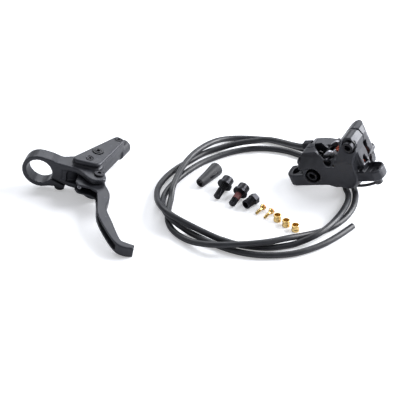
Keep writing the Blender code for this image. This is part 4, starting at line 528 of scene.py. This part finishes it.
def add_skin(item, voxel):
    """Gives the item one even outer skin of this grain."""
    remesh = item.modifiers.new("skin", "REMESH")
    remesh.mode = "VOXEL"
    remesh.voxel_size = voxel


def grown(mesh, voxel):
    """The outer skin of overlapping bodies as one even mesh."""
    item = placed("grown", mesh)
    add_skin(item, voxel)
    result = evaluated_mesh(item)
    bpy.data.objects.remove(item, do_unlink=True)
    return result


def carved(mesh, tool_mesh):
    """The mesh after another has been cut from it."""
    item = placed("carved", mesh)
    tool = placed("tool", tool_mesh)
    modifier = item.modifiers.new("carve", "BOOLEAN")
    modifier.operation = "DIFFERENCE"
    modifier.object = tool
    result = evaluated_mesh(item)
    for made in (item, tool):
        bpy.data.objects.remove(made, do_unlink=True)
    return result


def worked(mesh, frame_matrix, added, taken, voxel=CAST_VOXEL):
    """A copy of a node's mesh with bodies of its own frame added to it and then others taken away."""
    for body in (*added, *taken):
        body.transform(frame_matrix)
    mesh = grown(together([mesh, *added]), voxel)
    for body in taken:
        mesh = carved(mesh, body)
    return mesh


# Pieces that stand for nodes


def stand_in(name, mesh, replaced, material):
    """A piece that stands for CAD nodes and rides where the first of them rides."""
    item = placed(name, mesh)
    dress(item, material)
    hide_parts(*replaced)
    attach(item, body_of_node(replaced[0]))
    return item


def smoothed(item):
    for polygon in item.data.polygons:
        polygon.use_smooth = True
    item.data.set_sharp_from_angle(angle=SHARP_ANGLE)
    return item


def softened(name, looks, mesh=None):
    """A casting's copy whose sharp edges have the soft rounding of a cast and painted part."""
    item = stand_in(name + "_cast", mesh or node(name).data.copy(), [name], looks["painted"])
    add_skin(item, CAST_VOXEL)
    smooth = item.modifiers.new("smoothing", "SMOOTH")
    smooth.factor = SMOOTHING_FACTOR
    smooth.iterations = CAST_SMOOTHING
    result = evaluated_mesh(item)
    item.modifiers.clear()
    item.data = result
    for polygon in result.polygons:
        polygon.use_smooth = True
    dress(item, looks["painted"])


# Caliper


def near_half(looks):
    """The near half, with its flush front wall, the ramp above it, and its recesses and window."""
    ramp = slab(RAMP_SIDE, RAMP_LEFT, RAMP_RIGHT, "YZ")
    foot = [(x, y, z) for x, z in NECK_FOOT for y in (FRONT_WALL + NECK_FOOT_INSET, NECK_FAR)]
    neck = hull(disc_points(UPPER_BOLT, NECK_RADIUS, NECK_NEAR)
                + disc_points(UPPER_BOLT, NECK_RADIUS, NECK_FAR) + foot)
    added = [slab(FRONT_OUTLINE, FRONT_WALL, OVERLAP), ramp, neck, hull(SIDE_SKIN)]
    ramp_foot, ramp_top = RAMP_SIDE[:2]
    above_ramp = [ramp_foot, ramp_top, (ramp_top[0], RAMP_CLEARING), (-RAMP_CLEARING, RAMP_CLEARING),
                  (-RAMP_CLEARING, ramp_foot[1])]
    front = FRONT_WALL - OVERCUT
    taken = [
        slab(above_ramp, RAMP_LEFT, RAMP_RIGHT, "YZ"),
        plug(LOWER_RECESS, LOWER_RECESS_RADIUS, front, LOWER_RECESS_FLOOR),
        plug(LOWER_BOLT, BOLT_SEAT_RADIUS, front, LOWER_BOLT_SEAT),
        plug(UPPER_BOLT, BOLT_SEAT_RADIUS, front - OVERCUT, UPPER_BOLT_SEAT),
        hull(disc_points(AXLE_RECESS, AXLE_RECESS_RADIUS, front)
             + disc_points(AXLE, AXLE_RECESS_RADIUS, AXLE_RECESS_FLOOR)),
        plug(PISTON_PLACE, PISTON_BORE_RADIUS, PISTON_BORE_FLOOR, PISTON_BORE_MOUTH),
        slab(EAR_RECESS, -EAR_RECESS_DEPTH, OVERLAP, "XY"),
        slab(RIGHT_TRIM, -CUT_REACH / 2, ROTOR_PLANE + OVERLAP),
        slab(TOP_POCKET, POCKET_FLOOR, CUT_REACH, "XY"),
        radial_box(*SIDE_POCKET),
        slab(HIGH_SLOT, SLOTS_FROM, 2 * CUT_REACH, "YZ"),
        slab(LOW_SLOT, SLOTS_FROM, 2 * CUT_REACH, "YZ"),
    ]
    mesh = worked(node("caliper_half_near").data.copy(), CALIPER_FRAME, added, taken)
    softened("caliper_half_near", looks, mesh)


def far_half(looks):
    """The far half, with its rounded back corner and its part of the window."""
    taken = [
        slab(RIGHT_TRIM, ROTOR_PLANE - OVERLAP, CUT_REACH),
        slab(BACK_CORNER, BACK_CORNER_FROM, BACK_CORNER_TO, "XY"),
        slab(LOW_TRIM, ROTOR_PLANE - OVERLAP, CUT_REACH),
        slab(BACK_TOP, BACK_TOP_FROM, CUT_REACH),
        slab(TOP_POCKET, POCKET_FLOOR, CUT_REACH, "XY"),
        radial_box(*SIDE_POCKET),
        slab(HIGH_SLOT, SLOTS_FROM, 2 * CUT_REACH, "YZ"),
    ]
    mesh = worked(node("caliper_half_far").data.copy(), CALIPER_FRAME, [hull(FAR_SKIN)], taken)
    softened("caliper_half_far", looks, mesh)


def pads(looks):
    """Pad plates and linings with the lugs that show at the top and the side."""
    layers = (("pad_plate_", "steel", TOP_LUG_PLATE, PLATE_FROM, PLATE_TO),
              ("pad_lining_", "lining", TOP_LUG_LINING, LINING_FROM, LINING_TO))
    for side, letter in ((-1, "near"), (1, "far")):
        for stem, slot, top_lug, low, high in layers:
            name = stem + letter
            near, far = sorted((ROTOR_PLANE + side * low, ROTOR_PLANE + side * high))
            lugs = [radial_box(*top_lug, near, far), radial_box(*SIDE_LUG, near, far)]
            trim = slab(PAD_TRIM, ROTOR_PLANE - CUT_REACH / 2, ROTOR_PLANE + CUT_REACH / 2)
            mesh = worked(node(name).data.copy(), CALIPER_FRAME, lugs, [trim], FINE_VOXEL)
            smoothed(stand_in(name + "_lugged", mesh, [name], looks[slot]))


def pad_spring(looks):
    """The slim spring between the pads."""
    cut = radial_box(*SPRING_CUT, ROTOR_PLANE - CUT_REACH / 2, ROTOR_PLANE + CUT_REACH / 2)
    cut.transform(CALIPER_FRAME)
    mesh = carved(together([node("pad_spring").data]), cut)
    spring = smoothed(stand_in("pad_spring_slim", mesh, ["pad_spring"], looks["dark_steel"]))
    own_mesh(spring)


# Lever


def lever_body(looks):
    """The lever's casting, with its flat side wall and the open pocket under its arm."""
    pocket = slab(ARM_POCKET, ARM_POCKET_FROM, ARM_POCKET_TO, "XY")
    mesh = worked(node("lever_housing").data.copy(), LEVER_FRAME, [hull(SIDE_WALL)], [pocket])
    softened("lever_housing", looks, mesh)


def coil_spring(looks):
    """The return spring, as a copy of its node's mesh."""
    name = "return_spring"
    item = stand_in(name + "_coil", node(name).data.copy(), [name], looks["steel"])
    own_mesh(item)


# Turned pieces


def middle(name):
    points = [vert.co for vert in node(name).data.vertices]
    return sum(points, Vector()) / len(points)


def spread(name, axis):
    """A node's middle, and how far it reaches each way along an axis."""
    centre = middle(name)
    along = [(vert.co - centre).dot(axis) for vert in node(name).data.vertices]
    return centre, min(along), max(along)


def set_along(mesh, start, axis):
    """Turns a mesh drawn up the z axis so that it starts at a point and runs along an axis."""
    mesh.transform(Matrix.Translation(start) @ axis.to_track_quat("Z", "Y").to_matrix().to_4x4())
    return mesh


def arc_rings(corner_radius, centre_radius, centre_height, start, end):
    """Rings of a rounded edge, between two angles in degrees."""
    rings = []
    for index in range(ARC_STEPS + 1):
        angle = math.radians(start + (end - start) * index / ARC_STEPS)
        across = centre_radius + corner_radius * math.cos(angle)
        rings.append((across, centre_height + corner_radius * math.sin(angle)))
    return rings


def thread_rings(radius, low, high, pitch):
    """Rings close enough together to carry a thread."""
    count = max(2, math.ceil((high - low) / pitch * THREAD_RINGS))
    return [(radius, low + (high - low) * index / count) for index in range(count + 1)]


def cut_depth(radius, height, index, sides, thread, knurl):
    """How deep the thread or the knurl is at one corner of a ring."""
    depth = 0.0
    if thread and thread["low"] < height < thread["high"] and radius > thread["radius"] * THREAD_SHARE:
        turn = (height / thread["pitch"] - index / sides) % 1.0
        depth = thread["depth"] * abs(2 * turn - 1)
    if knurl and knurl["low"] <= height <= knurl["high"] and index % 2:
        depth = min(knurl["depth"], radius / 2)
    return depth


def turned_mesh(name, profile, thread=None, closed=False, sides=FINE_SIDES, knurl=None):
    """A solid of revolution, with a thread and a knurl cut between two heights where they are given."""
    shape = bmesh.new()
    rings = []
    for radius, height in profile:
        if radius < POINT_RADIUS:
            rings.append([shape.verts.new((0, 0, height))] * sides)
            continue
        ring = []
        for index in range(sides):
            angle = 2 * math.pi * index / sides
            reach = radius - cut_depth(radius, height, index, sides, thread, knurl)
            ring.append(shape.verts.new((reach * math.cos(angle), reach * math.sin(angle), height)))
        rings.append(ring)
    pairs = list(zip(rings, rings[1:])) + ([(rings[-1], rings[0])] if closed else [])
    for lower, upper in pairs:
        for index in range(sides):
            after = (index + 1) % sides
            corners = []
            for vert in (lower[index], lower[after], upper[after], upper[index]):
                if vert not in corners:
                    corners.append(vert)
            shape.faces.new(corners)
    bmesh.ops.recalc_face_normals(shape, faces=shape.faces[:])
    return finished(shape, name)


def prism_mesh(name, across_flats, low, high, sides=6):
    """A regular prism up the z axis."""
    shape = bmesh.new()
    radius = across_flats / 2 / math.cos(math.pi / sides)
    bmesh.ops.create_cone(shape, cap_ends=True, segments=sides, radius1=radius, radius2=radius,
                          depth=high - low)
    bmesh.ops.translate(shape, verts=shape.verts[:], vec=(0, 0, (low + high) / 2))
    return finished(shape, name)


def socket_bolt(name, axis, looks, head, height, shank, socket, socket_depth, pitch, edge, knurl=None):
    """A cap bolt with a lipped hexagon socket and a rolled thread. The axis runs from its head to its tip."""
    centre, low, high = spread(name, axis)
    length = high - low
    depth = pitch / 2
    thread = {"low": height + pitch, "high": length - 2 * depth, "radius": shank, "pitch": pitch,
              "depth": depth}
    profile = [(0.0, 0.0), (head - edge, 0.0)] + arc_rings(edge, head - edge, edge, -90, 0)[1:]
    profile += [(head, height - edge / 2), (head - edge / 2, height), (shank, height)]
    profile += thread_rings(shank, height + pitch / 2, length - depth, pitch)
    profile += [(shank - depth, length), (0.0, length)]
    mesh = turned_mesh(name + "_turned", profile, thread, knurl=knurl)
    lip = [(0.0, -MM), (socket / 2 + 2 * SOCKET_LIP, -SOCKET_LIP), (socket / 2, SOCKET_LIP),
           (0.0, SOCKET_LIP)]
    mesh = carved(mesh, turned_mesh("lip", lip, sides=LIP_SIDES))
    mesh = carved(mesh, prism_mesh("key", socket, -MM, socket_depth))
    set_along(mesh, centre + axis * low, axis)
    smoothed(stand_in(name + "_turned", mesh, [name], looks["black_steel"]))


def lever_fasteners(looks):
    down = -LEVER_UP
    socket_bolt("cover_screw_front", down, looks, **COVER_SCREW)
    socket_bolt("cover_screw_rear", down, looks, **COVER_SCREW)
    socket_bolt("bleed_screw", down, looks, **BLEED_SCREW)
    socket_bolt("pivot_pin", down, looks, **PIVOT_PIN)
    socket_bolt("clamp_bolt", LEVER_UP, looks, **CLAMP_BOLT)


def caliper_bolts(looks):
    for name in ("body_bolt_lower", "body_bolt_upper"):
        socket_bolt(name, ROTOR_AXIS, looks, **BODY_BOLT)


# Loose kit


def head_to_tip(name, other):
    """The axis through two nodes' middles, from the first one's wide end to its slim end."""
    centre = middle(name)
    axis = (middle(other) - centre).normalized()
    away = [vert.co - centre for vert in node(name).data.vertices]
    widths = [(point - axis * point.dot(axis)).length for point in away]
    wide = [point.dot(axis) for point, width in zip(away, widths) if width > WIDE_SHARE * max(widths)]
    return axis if sum(wide) < 0 else -axis


def lying_axis(heading, slope):
    """A direction over the surface, rising by a slope."""
    flat = Vector((*heading, 0.0)).normalized()
    return (flat * math.cos(slope) + Vector((0, 0, math.sin(slope)))).normalized()


def extra(name, mesh, carrier, material):
    """A small piece of its own that rides with a node."""
    item = placed(name, mesh)
    dress(item, material)
    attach(item, body_of_node(carrier))
    smoothed(item)


def thread_patch(name, axis, looks):
    """The red patch of thread lock round a bolt's shank."""
    centre, low, high = spread(name, axis)
    ring = [(PATCH_BORE_RADIUS, PATCH_FROM), (PATCH_RADIUS, PATCH_FROM), (PATCH_RADIUS, PATCH_TO),
            (PATCH_BORE_RADIUS, PATCH_TO)]
    patch = set_along(turned_mesh("thread_patch", ring, closed=True), centre + axis * low, axis)
    extra("thread_patch", patch, name, looks["thread_lock"])


def kit_bolts(looks):
    for letter in "ab":
        name = "kit_mount_bolt_" + letter
        axis = head_to_tip(name, "kit_washer_" + letter)
        socket_bolt(name, axis, looks, **KIT_BOLT, knurl=KIT_KNURL)
        if name == PATCHED_BOLT:
            thread_patch(name, axis, looks)


def kit_nut(looks):
    """The compression nut: threaded shank, hexagon and through bore."""
    axis = lying_axis(NUT_HEADING, 0.0)
    centre, low, high = spread("kit_hose_nut", axis)
    thread = {"low": NUT_CHAMFER, "high": NUT_SHANK_LENGTH, "radius": NUT_SHANK_RADIUS, "pitch": NUT_PITCH,
              "depth": NUT_THREAD_DEPTH}
    profile = [(NUT_BORE_RADIUS, 0.0), (NUT_SHANK_RADIUS - NUT_CHAMFER, 0.0)]
    profile += thread_rings(NUT_SHANK_RADIUS, NUT_THREAD_FROM, NUT_SHANK_LENGTH, NUT_PITCH)
    profile += [(NUT_BORE_RADIUS, NUT_SHANK_LENGTH)]
    shank = turned_mesh("shank", profile, thread, closed=True)
    bore = [(0.0, 0.0), (NUT_BORE_RADIUS, 0.0), (NUT_BORE_RADIUS, NUT_BORE_LENGTH), (0.0, NUT_BORE_LENGTH)]
    hexagon = prism_mesh("hexagon", NUT_FLATS, NUT_SHANK_LENGTH - NUT_OVERLAP, high - low)
    mesh = together([shank, carved(hexagon, turned_mesh("bore", bore))])
    set_along(mesh, centre + axis * low, axis)
    smoothed(stand_in("kit_hose_nut_turned", mesh, ["kit_hose_nut"], looks["black_steel"]))


def barb(name, axis, looks):
    """A barbed insert."""
    centre, low, high = spread(name, axis)
    length = high - low
    stem, head, hole = BARB_STEM_RADIUS, BARB_HEAD_RADIUS, BARB_HOLE_RADIUS
    profile = [(hole, 0.0), (stem - BARB_TIP_CHAMFER, 0.0)]
    for step in range(BARB_COUNT):
        foot = BARB_FIRST + step * BARB_PITCH
        profile += [(stem - BARB_DROP, foot), (stem + BARB_RISE, foot + BARB_PITCH * BARB_SLANT)]
    neck = length - BARB_HEAD_LENGTH
    profile += [(stem, BARB_COUNT * BARB_PITCH + BARB_NECK_GAP), (stem, neck), (head * BARB_SHOULDER, neck),
                (head, neck + BARB_SHOULDER_LENGTH), (head, length - BARB_EDGE), (head - BARB_EDGE, length),
                (hole, length), (hole, length / 2)]
    mesh = set_along(turned_mesh(name, profile, closed=True), centre + axis * low, axis)
    smoothed(stand_in(name + "_turned", mesh, [name], looks["brass"]))


def barb_rim(name, carrier, axis, looks):
    """The copper rim round the end of a barbed insert's head."""
    centre, low, high = spread(carrier, axis)
    length = high - low
    inner = BARB_HEAD_RADIUS * RIM_INSIDE
    outer = BARB_HEAD_RADIUS + RIM_PROUD
    ring = [(inner, length - RIM_DEPTH), (outer, length - RIM_DEPTH - RIM_WIDTH),
            (outer, length - RIM_CHAMFER), (inner, length + RIM_PROUD)]
    mesh = set_along(turned_mesh(name, ring, closed=True), centre + axis * low, axis)
    extra(name, mesh, carrier, looks["copper"])


def olive(name, looks):
    """A brass compression ring, standing on the surface."""
    up = Vector((0, 0, 1))
    centre, low, high = spread(name, up)
    height = high - low
    outer, edge = OLIVE_RADIUS, OLIVE_EDGE
    half = [(OLIVE_BORE_RADIUS, 0.0), (outer - edge, 0.0), (outer, edge), (outer, height / 2 - 3 * edge),
            (outer - OLIVE_GROOVE, height / 2 - 2 * edge)]
    profile = half + [(radius, height - place) for radius, place in reversed(half)]
    mesh = set_along(turned_mesh(name, profile, closed=True), centre + up * low, up)
    smoothed(stand_in(name + "_turned", mesh, [name], looks["brass"]))


def kit_brass(looks):
    axis = lying_axis(BARB_HEADING, BARB_SLOPE)
    for letter in "ab":
        barb("kit_barb_" + letter, axis, looks)
        barb_rim("barb_rim_" + letter, "kit_barb_" + letter, axis, looks)
    for letter in "abc":
        olive("kit_olive_" + letter, looks)


# Hose


def smooth_line(points, samples):
    """A smooth curve through every point."""
    rows = [Vector(point) for point in points]
    rows = [rows[0] * 2 - rows[1]] + rows + [rows[-1] * 2 - rows[-2]]
    line = []
    for index in range(1, len(rows) - 2):
        a, b, c, d = rows[index - 1:index + 3]
        for sample in range(samples):
            t = sample / samples
            line.append(b + (c - a) * (t / 2) + (a * 2 - b * 5 + c * 4 - d) * (t * t / 2)
                        + (b * 3 - a - c * 3 + d) * (t * t * t / 2))
    line.append(rows[-2])
    return line


def hose(looks):
    """The brake hose: one satin tube from its nut, round the coil, to its cut end."""
    route = [Vector(point) * MM - LAYOUT_CENTRE for point in HOSE_ROUTE]
    line = smooth_line(route, HOSE_SAMPLES)
    curve = bpy.data.curves.new("hose_tube", "CURVE")
    curve.dimensions = "3D"
    curve.bevel_depth = HOSE_DIA / 2
    curve.bevel_resolution = HOSE_BEVEL
    curve.use_fill_caps = True
    spline = curve.splines.new("POLY")
    spline.use_smooth = True
    spline.points.add(len(line) - 1)
    for point, place in zip(spline.points, line):
        point.co = (place.x, place.y, max(place.z, HOSE_DIA / 2), 1.0)
    item = placed("hose_tube", curve)
    item.data.materials.append(looks["rubber"])
    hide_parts("brake_hose")
    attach(item, body_of_node("brake_hose"))


# Light, surface and camera


def area_lamp(name, place, target, size, power, colour):
    lamp = bpy.data.lights.new(name, "AREA")
    lamp.shape = "RECTANGLE"
    lamp.size, lamp.size_y = size
    lamp.energy = power
    lamp.color = colour
    item = placed(name, lamp)
    item.location = place
    item.rotation_euler = (Vector(target) - Vector(place)).to_track_quat("-Z", "Y").to_euler()


def white_floor():
    """A white surface that the camera sees a little brighter than lit, and that keeps its shadows."""
    shape = bmesh.new()
    bmesh.ops.create_grid(shape, x_segments=1, y_segments=1, size=FLOOR_HALF)
    floor = placed("floor", finished(shape, "floor"))
    graph = Graph("floor_white")
    graph.shader.inputs["Base Color"].default_value = FLOOR_COLOUR
    graph.shader.inputs["Roughness"].default_value = FLOOR_ROUGHNESS
    graph.shader.inputs["Specular IOR Level"].default_value = FLOOR_SPECULAR
    glow = graph.add("ShaderNodeEmission", Color=(1.0, 1.0, 1.0, 1.0), Strength=FLOOR_GLOW)
    lit = graph.shader.outputs[0]
    total = graph.nodes.new("ShaderNodeAddShader")
    choice = graph.nodes.new("ShaderNodeMixShader")
    rays = graph.nodes.new("ShaderNodeLightPath")
    graph.links.new(lit, total.inputs[0])
    graph.links.new(glow.outputs[0], total.inputs[1])
    graph.links.new(rays.outputs["Is Camera Ray"], choice.inputs[0])
    graph.links.new(lit, choice.inputs[1])
    graph.links.new(total.outputs[0], choice.inputs[2])
    graph.links.new(choice.outputs[0], graph.nodes["Material Output"].inputs["Surface"])
    dress(floor, graph.material)


def set_world():
    world = bpy.data.worlds.new("studio")
    world.use_nodes = True
    background = world.node_tree.nodes["Background"]
    background.inputs["Color"].default_value = WORLD_COLOUR
    background.inputs["Strength"].default_value = WORLD_STRENGTH
    bpy.context.scene.world = world


def set_light():
    for name, settings in LAMPS.items():
        area_lamp(name, *settings)


def set_camera():
    forward = Vector((0.0, math.cos(VIEW_ELEVATION), -math.sin(VIEW_ELEVATION)))
    camera = bpy.data.cameras.new("camera")
    camera.sensor_width = SENSOR
    camera.lens = PIXELS_PER_MM * VIEW_DISTANCE / MM * SENSOR / PICTURE
    camera.clip_start = CLIP_START
    item = placed("camera", camera)
    item.location = -LAYOUT_CENTRE - forward * VIEW_DISTANCE
    item.rotation_euler = forward.to_track_quat("-Z", "Y").to_euler()
    bpy.context.scene.camera = item


def main():
    bpy.context.scene.view_settings.view_transform = "Standard"
    looks = finishes()
    dress_nodes(looks)
    for name in ("lever_blade", "reservoir_cover"):
        softened(name, looks)
    lever_body(looks)
    coil_spring(looks)
    near_half(looks)
    far_half(looks)
    pads(looks)
    pad_spring(looks)
    lever_fasteners(looks)
    caliper_bolts(looks)
    kit_bolts(looks)
    kit_nut(looks)
    kit_brass(looks)
    hose(looks)
    white_floor()
    set_world()
    set_light()
    set_camera()


main()
